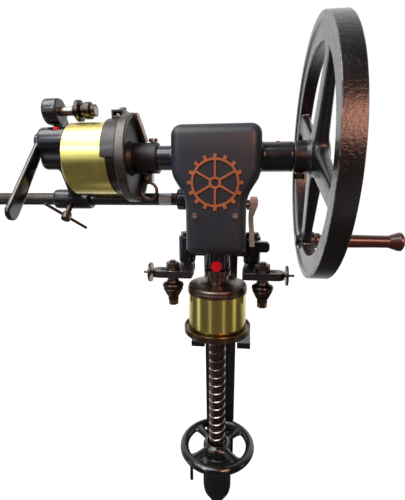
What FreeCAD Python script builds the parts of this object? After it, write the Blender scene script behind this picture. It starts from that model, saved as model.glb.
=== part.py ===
"""Hand-cranked can seaming machine with a side station for trimming and flanging cans.

The model is laid out about the point where the horizontal shaft axis meets the vertical
spindle axis: X runs along the shaft to the flywheel, Y to the back, Z up. Everything is then
shifted so that the origin is the middle of the bench face under the mounting flange.
"""
import FreeCAD, Part
import math
import operator
import os
import Sketcher
from FreeCAD import Placement, Rotation, Vector

doc = FreeCAD.newDocument("can_seamer")
sheet = doc.addObject("Spreadsheet::Sheet", "dims")

# Driving dimensions, millimetres and degrees
DIMENSIONS = {
    # place of the spindle and shaft axes over the bench face
    "spindle_front": 152, "shaft_height": 375,
    "gap": 0.3, "running": 0.05,
    # head casting and its cover
    "head_top": 47, "shoulder": 27, "waist": 60, "head_bottom": 149,
    "head_half": 67.5, "waist_half": 46.5, "wall": 8,
    "cover_front": 50, "parting": 26, "head_back": 72,
    "top_round": 16, "shoulder_round": 40, "waist_round": 55, "foot_round": 11, "cover_round": 9,
    "boss_radius": 23, "boss_end": 116, "neck_radius": 19.5, "neck_end": 131, "bush_radius": 16,
    "spindle_neck": 21, "spindle_neck_end": 182, "saddle_half": 50, "saddle_front": 18, "saddle_drop": 17,
    "cover_screw_x": 30.5, "cover_screw_z": 87, "cover_screw_radius": 4.3,
    "emblem_z": 38, "emblem_radius": 36, "emblem_width": 3.6, "emblem_tooth": 5.5, "emblem_raise": 2,
    # column, bench flange and the bracket of the lifting screw
    "column_front": 74, "column_depth": 40, "column_top_half": 33, "column_foot_half": 27,
    "column_foot": 652, "flange_half": 60, "flange_thick": 15, "flange_back": 188,
    "flange_hole": 5.5, "flange_hole_x": 44, "flange_hole_y": 18, "lip_height": 62, "lip_thick": 12,
    "bracket_radius": 26.5, "bracket_top": 545, "bracket_bottom": 620, "bracket_nose": 643,
    "bracket_arm_half": 17, "bracket_pad_half": 24, "bracket_pad_thick": 14,
    # crank shaft and flywheel
    "shaft_radius": 12, "shaft_left": 160, "shaft_right": 168,
    "wheel_radius": 187.5, "wheel_left": 140, "wheel_width": 26.5, "rim_depth": 35,
    "wheel_hub_radius": 24, "spoke_root_half": 21, "spoke_tip_half": 15,
    "spoke_root_thick": 22, "spoke_tip_thick": 12.5, "spoke_round": 5.5, "spoke_start": 18,
    "wheel_turn": 24, "wheel_round": 3.5, "rim_lip": 9, "rim_step": 2.5,
    "set_bolt_x": 127, "crank_radius": 157, "crank_pin_radius": 6, "grip_start": 170, "grip_length": 146,
    "grip_radius": 11, "grip_end_radius": 16.5,
    # bevel gears: the crown turns with the shaft, the pinion with the spindle
    "pinion_teeth": 15, "crown_teeth": 30, "pinion_pitch": 16, "tooth_face": 10, "tooth_height": 1.25,
    "pinion_back": 11, "crown_back": 12,
    # seaming spindle and chuck
    "spindle_radius": 11, "spindle_tip_radius": 7, "collar_radius": 22, "collar_end": 192,
    "chuck_neck": 18.5, "chuck_neck_end": 205, "chuck_radius": 50.6, "chuck_end": 221.5,
    "plug_radius": 47.5, "plug_end": 228,
    # cans
    "can_radius": 49.5, "can_wall": 0.7, "can_top": 222,
    "side_can_radius": 57.3, "side_can_left": 236, "side_can_right": 164,
    # lifting table
    "plate_radius": 57.7, "plate_top": 286, "plate_foot": 298, "plate_rim": 3,
    "screw_radius": 15, "screw_top": 301, "screw_foot": 652, "pivot_radius": 8,
    "handwheel_z": 530, "handwheel_ring": 62, "handwheel_tube": 7.9, "handwheel_hub": 22,
    "handwheel_spoke": 8, "handwheel_rise": 9, "nut_radius": 19,
    # seaming arms and rollers
    "arm_pivot_x": 58, "arm_pivot_y": 38, "arm_top": 184, "arm_thick": 12, "pivot_boss": 15,
    "pivot_pin": 7, "arm_inner": 42, "arm_outer": 111, "arm_front": 20, "arm_rear": 8,
    "arm_round": 4, "arm_end_round": 13, "arm_slot_inner": 62, "arm_slot_outer": 97,
    "roller_x": 76, "roller_y": 6, "slot_half": 5.2, "roller_radius": 18, "roller_low": 9,
    "roller_bolt": 5, "disc_radius": 16.5,
    "lever_x": 52, "lever_thick": 5, "lever_z": 75, "lever_y": 5, "lever_length": 68,
    # side bar
    "bar_radius": 11, "bar_y": 45, "bar_z": 69, "bar_left": 425, "bar_socket": 19,
    # trimming head
    "trim_hub": 24.5, "trim_hub_right": 96, "trim_ring": 70, "trim_right": 131, "trim_left": 146,
    "trim_recess": 11, "trim_bore": 13.5, "hub_screw_x": 104, "trip_x": 111.5, "trip_z": 32,
    "guard_radius": 62.5, "guard_inner": 58.6, "guard_left": 170, "guard_sweep": 150,
    "drive_radius": 56.2, "loop_radius": 13, "loop_wire": 2.5,
    # tailstock
    "tail_left": 291, "tail_right": 245, "tail_boss": 24, "tail_lever_z": 28, "centre_boss": 17,
    "clamp_left": 302, "clamp_right": 234, "clamp_radius": 18,
    "tool_y": 8, "tool_z": 77, "tool_boss": 21, "tool_left": 285, "tool_right": 260,
    "tool_pin_y": 50, "tool_pin_z": 40, "tool_roller_radius": 17, "tool_shaft_radius": 7,
    "lever_shaft": 8, "centre_shaft": 9, "tool_pin": 5,
    "tail_lever_drop": 106, "tail_lever_forward": 95,
    "clamp_screw_x": 272, "clamp_screw_radius": 5, "tommy_half": 42, "tommy_radius": 2.6, "tommy_turn": 55,
}


HOUSING_BOLT_HEIGHTS = (-88, -140)
HOUSING_BOLT_RADIUS = 4
LOCK_Y = 36
LOCK_Z = -607
LOCK_RADIUS = 4.5
LOCK_PIN_RADIUS = 3.3
CLAMP_LEAN = math.sqrt(0.5)
TOMMY_REACH = 40.5


class Size:
    """A length together with the sheet expression that it comes from."""

    def __init__(self, value, text):
        self.value = float(value)
        self.text = text

    def __neg__(self):
        return Size(-self.value, "(0 - %s)" % self.text)

    def __add__(self, other):
        return combine(self, "+", other)

    def __radd__(self, other):
        return combine(other, "+", self)

    def __sub__(self, other):
        return combine(self, "-", other)

    def __rsub__(self, other):
        return combine(other, "-", self)

    def __mul__(self, other):
        return combine(self, "*", other)

    def __rmul__(self, other):
        return combine(other, "*", self)

    def __truediv__(self, other):
        return combine(self, "/", other)


SIGNS = {"+": operator.add, "-": operator.sub, "*": operator.mul, "/": operator.truediv}


def as_size(length):
    if isinstance(length, Size):
        return length
    return Size(length, "(%r)" % float(length))


def combine(first, sign, second):
    first = as_size(first)
    second = as_size(second)
    text = "(%s %s %s)" % (first.text, sign, second.text)
    return Size(SIGNS[sign](first.value, second.value), text)


class Dimensions:
    """Sizes by name, each bound to its cell of the sheet."""


dim = Dimensions()
for row, (name, number) in enumerate(DIMENSIONS.items(), start=1):
    sheet.set("A%d" % row, name)
    sheet.set("B%d" % row, str(number))
    sheet.setAlias("B%d" % row, name)
    setattr(dim, name, Size(number, "dims." + name))
doc.recompute()

AXIS_TURNS = {
    "x": Rotation(Vector(0, 1, 0), 90),
    "y": Rotation(Vector(1, 0, 0), -90),
    "z": Rotation(),
    "-z": Rotation(Vector(1, 0, 0), 180),
}
nodes = {}


# Building blocks
def bind(obj, prop, length):
    obj.setExpression(prop, as_size(length).text)


def place(obj, point, turn=None):
    """Put an object at a point given from the meeting of shaft and spindle axes."""
    shifted = (as_size(point[0]), point[1] - dim.spindle_front, point[2] + dim.shaft_height)
    if turn is None:
        turn = Rotation()
    obj.Placement = Placement(Vector(*[length.value for length in shifted]), turn)
    for letter, length in zip("xyz", shifted):
        bind(obj, "Placement.Base." + letter, length)
    return obj


def along(axis, start, centre):
    """A point from its place along an axis and its two coordinates across that axis."""
    if axis.endswith("x"):
        return (start, centre[0], centre[1])
    if axis.endswith("y"):
        return (centre[0], start, centre[1])
    return (centre[0], centre[1], start)


def block(x_span, y_span, z_span):
    box = doc.addObject("Part::Box", "Block")
    for prop, span in zip(("Length", "Width", "Height"), (x_span, y_span, z_span)):
        bind(box, prop, span[1] - as_size(span[0]))
    return place(box, (x_span[0], y_span[0], z_span[0]))


def rod(axis, span, centre, radius):
    cylinder = doc.addObject("Part::Cylinder", "Rod")
    bind(cylinder, "Radius", radius)
    bind(cylinder, "Height", span[1] - as_size(span[0]))
    return place(cylinder, along(axis, span[0], centre), AXIS_TURNS[axis])


def leaning_rod(start, end, radius):
    """A round bar between two points."""
    cylinder = doc.addObject("Part::Cylinder", "LeaningRod")
    steps = [as_size(last - as_size(first)) for first, last in zip(start, end)]
    direction = Vector(*[step.value for step in steps])
    squares = "+".join("%s*%s" % (step.text, step.text) for step in steps)
    bind(cylinder, "Radius", radius)
    bind(cylinder, "Height", Size(direction.Length, "sqrt(%s)" % squares))
    return place(cylinder, start, Rotation(Vector(0, 0, 1), direction))


def hexagon(axis, span, centre, corner_radius):
    prism = doc.addObject("Part::Prism", "Hexagon")
    prism.Polygon = 6
    bind(prism, "Circumradius", corner_radius)
    bind(prism, "Height", span[1] - as_size(span[0]))
    return place(prism, along(axis, span[0], centre), AXIS_TURNS[axis])


def joined(*pieces):
    fusion = doc.addObject("Part::MultiFuse", "Joined")
    fusion.Shapes = list(pieces)
    fusion.Refine = True
    return fusion


def less(base, *tools):
    cut = doc.addObject("Part::Cut", "Less")
    cut.Base = base
    cut.Tool = tools[0] if len(tools) == 1 else joined(*tools)
    cut.Refine = True
    return cut


def group(*pieces):
    """Separate solids that share a node."""
    compound = doc.addObject("Part::Compound", "Group")
    compound.Links = list(pieces)
    return compound


def tube(axis, span, centre, outer, inner):
    return less(rod(axis, span, centre, outer), rod(axis, span, centre, inner))


def origin_plane(body, role):
    return [plane for plane in body.Origin.OriginFeatures if plane.Role == role][0]


def closed_sketch(body, role, points):
    """A closed outline whose corners are bound to the sheet."""
    sketch = body.newObject("Sketcher::SketchObject", "Outline")
    sketch.AttachmentSupport = (origin_plane(body, role), [""])
    sketch.MapMode = "FlatFace"
    corners = [(as_size(across), as_size(up)) for across, up in points]
    flat = [Vector(across.value, up.value, 0) for across, up in corners]
    lines = [Part.LineSegment(flat[i], flat[(i + 1) % len(flat)]) for i in range(len(flat))]
    sketch.addGeometry(lines, False)
    rules = [Sketcher.Constraint("Coincident", i, 2, (i + 1) % len(flat), 1) for i in range(len(flat))]
    bound = []
    for i, corner in enumerate(corners):
        for kind, axis_line, length in zip(("DistanceX", "DistanceY"), (-2, -1), corner):
            if abs(length.value) < 1e-9:
                rules.append(Sketcher.Constraint("PointOnObject", i, 1, axis_line))
            elif length.value > 0:
                bound.append((len(rules), length))
                rules.append(Sketcher.Constraint(kind, -1, 1, i, 1, length.value))
            else:
                bound.append((len(rules), -length))
                rules.append(Sketcher.Constraint(kind, i, 1, -1, 1, -length.value))
    sketch.addConstraint(rules)
    for index, length in bound:
        sketch.setExpression("Constraints[%d]" % index, length.text)
    return sketch


def turned(axis, origin, points):
    """A turned piece: a closed outline of (along, radius) corners spun about an axis."""
    body = doc.addObject("PartDesign::Body", "Turned")
    sketch = closed_sketch(body, "XZ_Plane", [(radius, up) for up, radius in points])
    spin = body.newObject("PartDesign::Revolution", "Spin")
    spin.Profile = sketch
    spin.ReferenceAxis = (sketch, ["V_Axis"])
    spin.Angle = 360
    return place(body, origin, AXIS_TURNS[axis])


PLATE_PLANES = {"x": "YZ_Plane", "y": "XZ_Plane", "z": "XY_Plane"}


def plate(normal, points, span, turn=None):
    """A flat piece: an outline padded over a span along its normal."""
    body = doc.addObject("PartDesign::Body", "Plate")
    sketch = closed_sketch(body, PLATE_PLANES[normal], points)
    pad = body.newObject("PartDesign::Pad", "Pad")
    pad.Profile = sketch
    bind(pad, "Length", span[1] - as_size(span[0]))
    start = span[1] if normal == "y" else span[0]
    return place(body, along(normal, start, (0, 0)), turn)


def round_edges(body, radius, wanted):
    """Round the edges of a body that a test picks out."""
    doc.recompute()
    tip = body.Tip
    names = ["Edge%d" % (i + 1) for i, edge in enumerate(tip.Shape.Edges) if wanted(edge)]
    fillet = body.newObject("PartDesign::Fillet", "Round")
    fillet.Base = (tip, names)
    bind(fillet, "Radius", radius)
    return body


def runs_along(letter):
    """A test for straight edges parallel to a body's own axis."""
    def test(edge):
        if not isinstance(edge.Curve, Part.Line):
            return False
        return abs(abs(getattr(edge.Curve.Direction, letter)) - 1) < 1e-6
    return test


def is_circle_of(radius):
    """A test for round edges of one radius."""
    def test(edge):
        return isinstance(edge.Curve, Part.Circle) and abs(edge.Curve.Radius - radius) < 0.1
    return test


def lies_at(letter, height):
    """A test for edges that lie whole at one height along a body's own axis."""
    def test(edge):
        low = getattr(edge.BoundBox, letter.upper() + "Min")
        high = getattr(edge.BoundBox, letter.upper() + "Max")
        return abs(low - height) < 1e-4 and abs(high - height) < 1e-4
    return test


def keep(label, obj):
    obj.Label = label
    nodes[label] = obj
    return obj


# Head: housing, cover, bushes and what is fixed to them
def head_outline(inset):
    wide = dim.head_half - inset
    narrow = dim.waist_half - inset
    top = dim.head_top - inset
    shoulder = -dim.shoulder + inset * 0.4
    waist = -dim.waist + inset * 0.4
    bottom = -dim.head_bottom + inset
    return [(-wide, top), (wide, top), (wide, shoulder), (narrow, waist),
            (narrow, bottom), (-narrow, bottom), (-narrow, waist), (-wide, shoulder)]


def head_shell(front, back):
    """The outline of the head over a depth, with each pair of corners rounded."""
    shell = plate("y", head_outline(0), (front, back))
    corners = ((dim.head_top, dim.top_round), (-dim.shoulder, dim.shoulder_round),
               (-dim.waist, dim.waist_round), (-dim.head_bottom, dim.foot_round))
    across = runs_along("y")
    for height, radius in corners:
        level = height.value
        round_edges(shell, radius, lambda edge: across(edge) and abs(edge.BoundBox.ZMax - level) < 0.1)
    return shell


def make_cover():
    shell = head_shell(-dim.cover_front, -dim.parting)
    depth = (dim.cover_front - dim.parting).value
    round_edges(shell, dim.cover_round, lies_at("y", -depth))
    hollow = plate("y", head_outline(dim.wall), (-dim.cover_front + dim.wall, -dim.parting))
    holes = [rod("y", (-dim.cover_front - 1, -dim.parting), (side * dim.cover_screw_x, -dim.cover_screw_z),
                 2.5) for side in (-1, 1)]
    keep("front_cover", less(shell, hollow, *holes))
    screws = []
    for side in (-1, 1):
        x = side * dim.cover_screw_x
        z = -dim.cover_screw_z
        head = rod("y", (-dim.cover_front - 2.6, -dim.cover_front), (x, z), dim.cover_screw_radius)
        slot = block((x - 5, x + 5), (-dim.cover_front - 3, -dim.cover_front - 1.4), (z - 0.6, z + 0.6))
        shank = rod("y", (-dim.cover_front, -dim.cover_front + 14), (x, z), 2.5)
        screws.append(joined(less(head, slot), shank))
    keep("cover_screws", group(*screws))


def make_emblem():
    """A plain raised cog wheel."""
    span = (-dim.cover_front - dim.emblem_raise, -dim.cover_front)
    centre = (0, -dim.emblem_z)
    ring = tube("y", span, centre, dim.emblem_radius, dim.emblem_radius - dim.emblem_width)
    hub = tube("y", span, centre, 9, 5.5)
    pieces = [ring, hub]
    for step in range(16):
        tooth = block((-2.6, 2.6), span, (dim.emblem_radius - 1, dim.emblem_radius + dim.emblem_tooth))
        turn_about_spindle_front(tooth, step * 22.5, dim.emblem_radius - 1, -2.6)
        pieces.append(tooth)
    for step in range(6):
        spoke = block((-1.6, 1.6), span, (8, dim.emblem_radius - 2))
        turn_about_spindle_front(spoke, step * 60, as_size(8), -1.6)
        pieces.append(spoke)
    keep("emblem", joined(*pieces))


def turn_about_spindle_front(piece, degrees, start, side):
    """Turn a bar of the emblem about the emblem's middle."""
    angle = math.radians(degrees)
    x = start * math.sin(angle) + side * math.cos(angle)
    z = start * math.cos(angle) - side * math.sin(angle) - dim.emblem_z
    place(piece, (x, -dim.cover_front - dim.emblem_raise, z), Rotation(Vector(0, 1, 0), degrees))


def make_housing():
    shell = head_shell(-dim.parting, dim.head_back)
    round_edges(shell, dim.cover_round, lies_at("y", 0))
    hollow = plate("y", head_outline(dim.wall), (-dim.parting, dim.head_back - dim.wall))
    inside = dim.head_half - dim.wall - 6
    pad_half = dim.column_top_half
    solids = [
        less(shell, hollow),
        rod("x", (inside, dim.boss_end), (0, 0), dim.boss_radius),
        rod("x", (-dim.neck_end, -inside), (0, 0), dim.neck_radius),
        rod("z", (-dim.spindle_neck_end, -dim.head_bottom + 18), (0, 0), dim.spindle_neck),
        rod("x", (-dim.waist_half - 28, -dim.waist_half + 4), (dim.bar_y, -dim.bar_z), dim.bar_socket),
        block((-pad_half, pad_half), (dim.head_back - 4, dim.column_front),
              (-dim.head_bottom - 20, -dim.waist)),
        block((-dim.saddle_half, dim.saddle_half), (dim.saddle_front, dim.head_back - 6),
              (-dim.head_bottom - dim.saddle_drop, -dim.head_bottom + 10)),
    ]
    cuts = [
        rod("x", (0, dim.boss_end + 1), (0, 0), dim.bush_radius),
        rod("x", (-dim.neck_end - 1, 0), (0, 0), dim.bush_radius),
        rod("z", (-dim.spindle_neck_end - 1, -dim.head_bottom + 30), (0, 0), dim.bush_radius),
        rod("x", (-dim.waist_half - 30, -dim.waist_half - 2), (dim.bar_y, -dim.bar_z), dim.bar_radius),
        rod("x", (dim.waist_half - 9, dim.waist_half + 1), (dim.lever_y, -dim.lever_z), 5),
    ]
    for side in (-1, 1):
        x = side * dim.arm_pivot_x
        low = -dim.arm_top + 3
        high = -dim.head_bottom + 16
        solids.append(rod("z", (low, high), (x, dim.arm_pivot_y), dim.pivot_boss))
        solids.append(block((x - dim.pivot_boss, x + dim.pivot_boss), (dim.arm_pivot_y, dim.head_back - 6),
                            (low + 6, high)))
        cuts.append(rod("z", (low - 1, high + 1), (x, dim.arm_pivot_y), dim.pivot_pin))
    for z in HOUSING_BOLT_HEIGHTS:
        cuts.append(rod("y", (dim.column_front - 12, dim.column_front + 1), (0, z), HOUSING_BOLT_RADIUS))
    cuts.append(boss_oil_hole())
    cuts.append(neck_oil_hole())
    keep("gear_housing", less(joined(*solids), *cuts))


def boss_oil_hole():
    return rod("z", (dim.boss_radius - 5, dim.boss_radius + 0.4), (93, 0), 4)


def neck_oil_hole():
    return rod("y", (-dim.spindle_neck - 3, -dim.spindle_neck + 3), (0, -dim.head_bottom - 24), 8.5)


def make_bushes():
    inside = dim.head_half - dim.wall - 6
    bore = dim.shaft_radius + dim.running
    keep("shaft_bushes", group(
        tube("x", (inside, dim.boss_end), (0, 0), dim.bush_radius, bore),
        tube("x", (-dim.neck_end, -inside), (0, 0), dim.bush_radius, bore)))
    keep("spindle_bush", tube("z", (-dim.spindle_neck_end, -dim.head_bottom + 18), (0, 0), dim.bush_radius,
                              dim.spindle_radius + dim.running))
    keep("oil_caps", group(boss_oil_hole(), neck_oil_hole()))


def hex_bolt(axis, head_span, shank_span, centre, radius):
    return joined(hexagon(axis, head_span, centre, radius * 1.9), rod(axis, shank_span, centre, radius))


# Column, bench flange and bracket
def make_column():
    depth = dim.column_depth
    back = dim.column_front + depth
    top = dim.column_top_half
    foot = dim.column_foot_half
    low = -dim.column_foot
    high = -dim.waist
    post = plate("y", [(-foot, low), (foot, low), (top, high), (-top, high)], (dim.column_front, back))
    round_edges(post, 5, lies_at("y", 0))
    holes = [rod("y", (dim.column_front - 1, back + 1), (0, z), HOUSING_BOLT_RADIUS)
             for z in HOUSING_BOLT_HEIGHTS]
    for z in flange_bolt_heights():
        holes.append(rod("y", (back - 14, back + 1), (0, z), 5))
    for x, z in bracket_bolt_places():
        holes.append(rod("y", (dim.column_front - 1, dim.column_front + 16), (x, z), 4))
    keep("column", less(post, *holes))
    lip = back + dim.lip_thick
    pad = dim.column_front - dim.bracket_pad_thick
    bolts = [hex_bolt("y", (back, back + 6), (dim.column_front - 12, back), (0, z), HOUSING_BOLT_RADIUS)
             for z in HOUSING_BOLT_HEIGHTS]
    bolts += [hex_bolt("y", (lip, lip + 7), (back - 14, lip), (0, z), 5) for z in flange_bolt_heights()]
    bolts += [hex_bolt("y", (pad - 6, pad), (pad, dim.column_front + 16), spot, 4)
              for spot in bracket_bolt_places()]
    keep("column_bolts", group(*bolts))


def flange_bolt_heights():
    face = -dim.shaft_height + dim.flange_thick
    return (face + 18, face + 44)


def make_flange():
    half = dim.flange_half
    back = dim.column_front + dim.column_depth
    face = -dim.shaft_height
    top = face + dim.flange_thick
    base = block((-half, half), (back + 2, dim.flange_back), (face, top))
    lugs = [block(span, (dim.column_front + 8, back + 2), (face + 3, top))
            for span in ((-half, -dim.column_top_half), (dim.column_top_half, half))]
    lip = block((-24, 24), (back, back + dim.lip_thick), (top - 6, top + dim.lip_height))
    holes = []
    middle = dim.spindle_front
    for x in (-dim.flange_hole_x, dim.flange_hole_x):
        for y in (middle - dim.flange_hole_y, middle + dim.flange_hole_y):
            holes.append(rod("z", (face - 1, top + 1), (x, y), dim.flange_hole))
    for z in flange_bolt_heights():
        holes.append(rod("y", (back - 1, back + dim.lip_thick + 1), (0, z), 5))
    keep("bench_flange", less(joined(base, lip, *lugs), *holes))


def bracket_bolt_places():
    return [(x, z) for x in (-14, 14) for z in (-dim.bracket_top - 6, -dim.bracket_bottom - 20)]


def make_bracket():
    top = -dim.bracket_top
    bottom = -dim.bracket_bottom
    nose = -dim.bracket_nose
    bore = dim.screw_radius + 0.5
    boss = turned("z", (0, 0, nose), [
        (0, bore), (0, bore + 2), (12, dim.bracket_radius - 2), (bottom - nose, dim.bracket_radius),
        (top - nose, dim.bracket_radius), (top - nose, bore)])
    pad_front = dim.column_front - dim.bracket_pad_thick
    arm = less(block((-dim.bracket_arm_half, dim.bracket_arm_half), (10, pad_front), (bottom + 3, top - 16)),
               rod("z", (nose - 1, top + 1), (0, 0), dim.bracket_radius - 2))
    pad = block((-dim.bracket_pad_half, dim.bracket_pad_half), (pad_front, dim.column_front),
                (bottom - 32, top + 6))
    ear = block((-44, -dim.bracket_arm_half), (LOCK_Y - 10, LOCK_Y + 10), (LOCK_Z - 10, LOCK_Z + 12))
    web = block((-dim.bracket_arm_half, 0), (LOCK_Y - 10, pad_front), (LOCK_Z - 10, LOCK_Z + 12))
    holes = [rod("y", (pad_front - 1, dim.column_front + 1), (x, z), 4) for x, z in bracket_bolt_places()]
    holes.append(rod("x", (-50, -20), (LOCK_Y, LOCK_Z), LOCK_RADIUS + dim.running))
    keep("screw_bracket", less(joined(boss, arm, pad, ear, web), *holes))
    head = rod("x", (-62, -50), (LOCK_Y, LOCK_Z), 8)
    shank = rod("x", (-50, -21), (LOCK_Y, LOCK_Z), LOCK_RADIUS)
    pin = rod("z", (LOCK_Z - 45, LOCK_Z + 10), (-56, LOCK_Y), LOCK_PIN_RADIUS)
    keep("screw_lock", joined(head, shank, pin))


# Crank shaft, flywheel and crank
def make_crank():
    keep("main_shaft", rod("x", (-dim.shaft_left, dim.shaft_right), (0, 0), dim.shaft_radius))
    inner = dim.wheel_radius - dim.rim_depth
    outer = dim.wheel_radius
    wide = dim.wheel_width
    step = dim.rim_step
    lip = outer - dim.rim_lip
    rim = turned("x", (dim.wheel_left, 0, 0), [
        (step, inner), (step, lip - step), (0, lip), (0, outer), (wide, outer), (wide, lip),
        (wide - step, lip - step), (wide - step, inner)])
    round_edges(rim, dim.wheel_round, is_circle_of(outer.value))
    round_edges(rim, step, is_circle_of(inner.value))
    hub = rod("x", (dim.boss_end + 0.5, dim.shaft_right), (0, 0), dim.wheel_hub_radius)
    middle = dim.wheel_left + dim.wheel_width / 2
    pieces = [rim, hub]
    for quarter in range(4):
        pieces.append(wheel_spoke(middle, inner + 6, DIMENSIONS["wheel_turn"] + 90 * quarter))
    y, z = crank_place()
    pieces.append(rod("x", (dim.wheel_left, dim.grip_start - 2), (y, z), 16))
    bore = rod("x", (dim.boss_end, dim.shaft_right + 1), (0, 0), dim.shaft_radius)
    pin_hole = rod("x", (dim.wheel_left - 1, dim.grip_start), (y, z), dim.crank_pin_radius)
    bolt_hole = rod("z", (-dim.wheel_hub_radius - 2, -dim.shaft_radius), (dim.set_bolt_x, 0), 5)
    keep("flywheel", less(joined(*pieces), bore, pin_hole, bolt_hole))
    keep("flywheel_set_bolt", joined(
        rod("z", (-dim.wheel_hub_radius - 2, -dim.shaft_radius), (dim.set_bolt_x, 0), 5),
        hexagon("z", (-dim.wheel_hub_radius - 10, -dim.wheel_hub_radius - 2), (dim.set_bolt_x, 0), 8.5)))
    end = dim.grip_start + dim.grip_length
    keep("crank_pin", joined(
        rod("x", (dim.wheel_left - 3, end + 3), (y, z), dim.crank_pin_radius),
        hexagon("x", (dim.wheel_left - 5, dim.wheel_left), (y, z), 10),
        rod("x", (end + dim.gap, end + 3), (y, z), 10)))
    grip = turned("x", (dim.grip_start, y, z), [
        (0, dim.crank_pin_radius + dim.running), (0, 14), (6, 14), (6, 12.5), (12, dim.grip_radius - 1),
        (50, dim.grip_radius + 1), (100, dim.grip_radius), (dim.grip_length - 22, dim.grip_radius),
        (dim.grip_length - 6, dim.grip_end_radius), (dim.grip_length - 2, dim.grip_end_radius),
        (dim.grip_length, dim.grip_end_radius - 2), (dim.grip_length, dim.crank_pin_radius + dim.running)])
    keep("crank_grip", grip)


def wheel_spoke(middle, reach, degrees):
    """A spoke that thins from hub to rim in both directions, with rounded edges."""
    spoke = doc.addObject("Part::Wedge", "Spoke")
    sizes = {"Ymin": dim.spoke_start, "Ymax": reach}
    for letter, root, tip in (("X", dim.spoke_root_thick / 2, dim.spoke_tip_thick / 2),
                              ("Z", dim.spoke_root_half, dim.spoke_tip_half)):
        sizes[letter + "min"] = -root
        sizes[letter + "max"] = root
        sizes[letter + "2min"] = -tip
        sizes[letter + "2max"] = tip
    for prop, length in sizes.items():
        bind(spoke, prop, length)
    place(spoke, (middle, 0, 0), Rotation(Vector(1, 0, 0), degrees - 90))
    doc.recompute()
    shortest = (reach - dim.spoke_start).value
    radius = dim.spoke_round.value
    rounded = doc.addObject("Part::Fillet", "RoundedSpoke")
    rounded.Base = spoke
    rounded.Edges = [(i + 1, radius, radius) for i, edge in enumerate(spoke.Shape.Edges)
                     if edge.Length >= shortest]
    return rounded


def crank_place():
    angle = math.radians(DIMENSIONS["wheel_turn"])
    return (dim.crank_radius * math.sin(angle), -dim.crank_radius * math.cos(angle))


# Bevel gears
def bevel_gear(label, teeth, mate_teeth, pitch_radius, bore, back, first_tooth, axis):
    """Straight bevel gear with its cone apex where the two axes meet."""
    slope = math.atan2(teeth, mate_teeth)
    cone = pitch_radius / math.sin(slope)
    small = 1 - DIMENSIONS["tooth_face"] / cone
    module = 2 * pitch_radius / teeth
    rise = DIMENSIONS["tooth_height"]
    drop = rise + 0.5
    half_width = math.pi * module / 4 - 0.4
    out = Vector(math.cos(slope), 0, -math.sin(slope))
    pitch = Vector(math.sin(slope), 0, math.cos(slope)) * cone
    root = pitch - out * drop
    outline = [Vector(bore, 0, root.z * small), root * small, root,
               Vector(root.x, 0, root.z + back), Vector(bore, 0, root.z + back)]
    outline.append(outline[0])
    blank = Part.Face(Part.makePolygon(outline)).revolve(Vector(), Vector(0, 0, 1), 360)
    flank = math.tan(math.radians(20))
    section = []
    for height, side in ((-drop - 0.4, -1), (rise, -1), (rise, 1), (-drop - 0.4, 1)):
        width = half_width - height * flank
        section.append(pitch + out * height + Vector(0, side * width, 0))
    section.append(section[0])
    ends = [Part.makePolygon([point * scale for point in section]) for scale in (1, small)]
    tooth = Part.makeLoft(ends, True, True)
    ring = []
    for step in range(teeth):
        copy = tooth.copy()
        copy.rotate(Vector(), Vector(0, 0, 1), first_tooth + 360 * step / teeth)
        ring.append(copy)
    gear = doc.addObject("Part::Feature", "Gear")
    gear.Shape = blank.multiFuse(ring).removeSplitter()
    place(gear, (0, 0, 0), AXIS_TURNS[axis])
    return keep(label, gear)


def make_gears():
    pinion_teeth = DIMENSIONS["pinion_teeth"]
    crown_teeth = DIMENSIONS["crown_teeth"]
    pinion_pitch = DIMENSIONS["pinion_pitch"]
    crown_pitch = pinion_pitch * crown_teeth / pinion_teeth
    bevel_gear("spindle_pinion", pinion_teeth, crown_teeth, pinion_pitch,
               DIMENSIONS["spindle_tip_radius"], DIMENSIONS["pinion_back"], 0, "-z")
    bevel_gear("crown_gear", crown_teeth, pinion_teeth, crown_pitch,
               DIMENSIONS["shaft_radius"], DIMENSIONS["crown_back"], 180 / crown_teeth, "x")


# Seaming spindle and chuck
def make_spindle():
    chuck_bore_end = -dim.chuck_neck_end + 5
    keep("spindle", turned("z", (0, 0, chuck_bore_end), [
        (0, 0), (0, dim.spindle_radius), (-46 - chuck_bore_end, dim.spindle_radius),
        (-46 - chuck_bore_end, dim.spindle_tip_radius), (-17 - chuck_bore_end, dim.spindle_tip_radius),
        (-17 - chuck_bore_end, 0)]))
    keep("spindle_collar", tube("z", (-dim.collar_end, -dim.spindle_neck_end - dim.gap), (0, 0),
                                dim.collar_radius, dim.spindle_radius))
    low = -dim.plug_end
    flange = -dim.chuck_end - low
    neck = -dim.chuck_neck_end - low
    rim = dim.chuck_radius
    keep("seaming_chuck", turned("z", (0, 0, low), [
        (0, 0), (0, dim.plug_radius - 1), (1, dim.plug_radius), (flange, dim.plug_radius), (flange, rim),
        (flange + 6, rim), (flange + 7, rim - 1.6), (flange + 9, rim - 1.6), (flange + 10, rim - 0.4),
        (flange + 13, rim - 2.4), (neck - 1, 30), (neck + 2, dim.chuck_neck),
        (-dim.collar_end - low, dim.chuck_neck), (-dim.collar_end - low, dim.spindle_radius),
        (chuck_bore_end - low, dim.spindle_radius), (chuck_bore_end - low, 0)]))


# Lifting table
def cup(axis, origin, length, radius):
    """A thin can with a rolled rim at its open end."""
    wall = dim.can_wall
    return turned(axis, origin, [
        (0, 0), (0, radius - 3), (2.4, radius), (length, radius), (length, radius - wall),
        (2.4, radius - wall), (1, radius - 3), (1, 0)])


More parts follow.
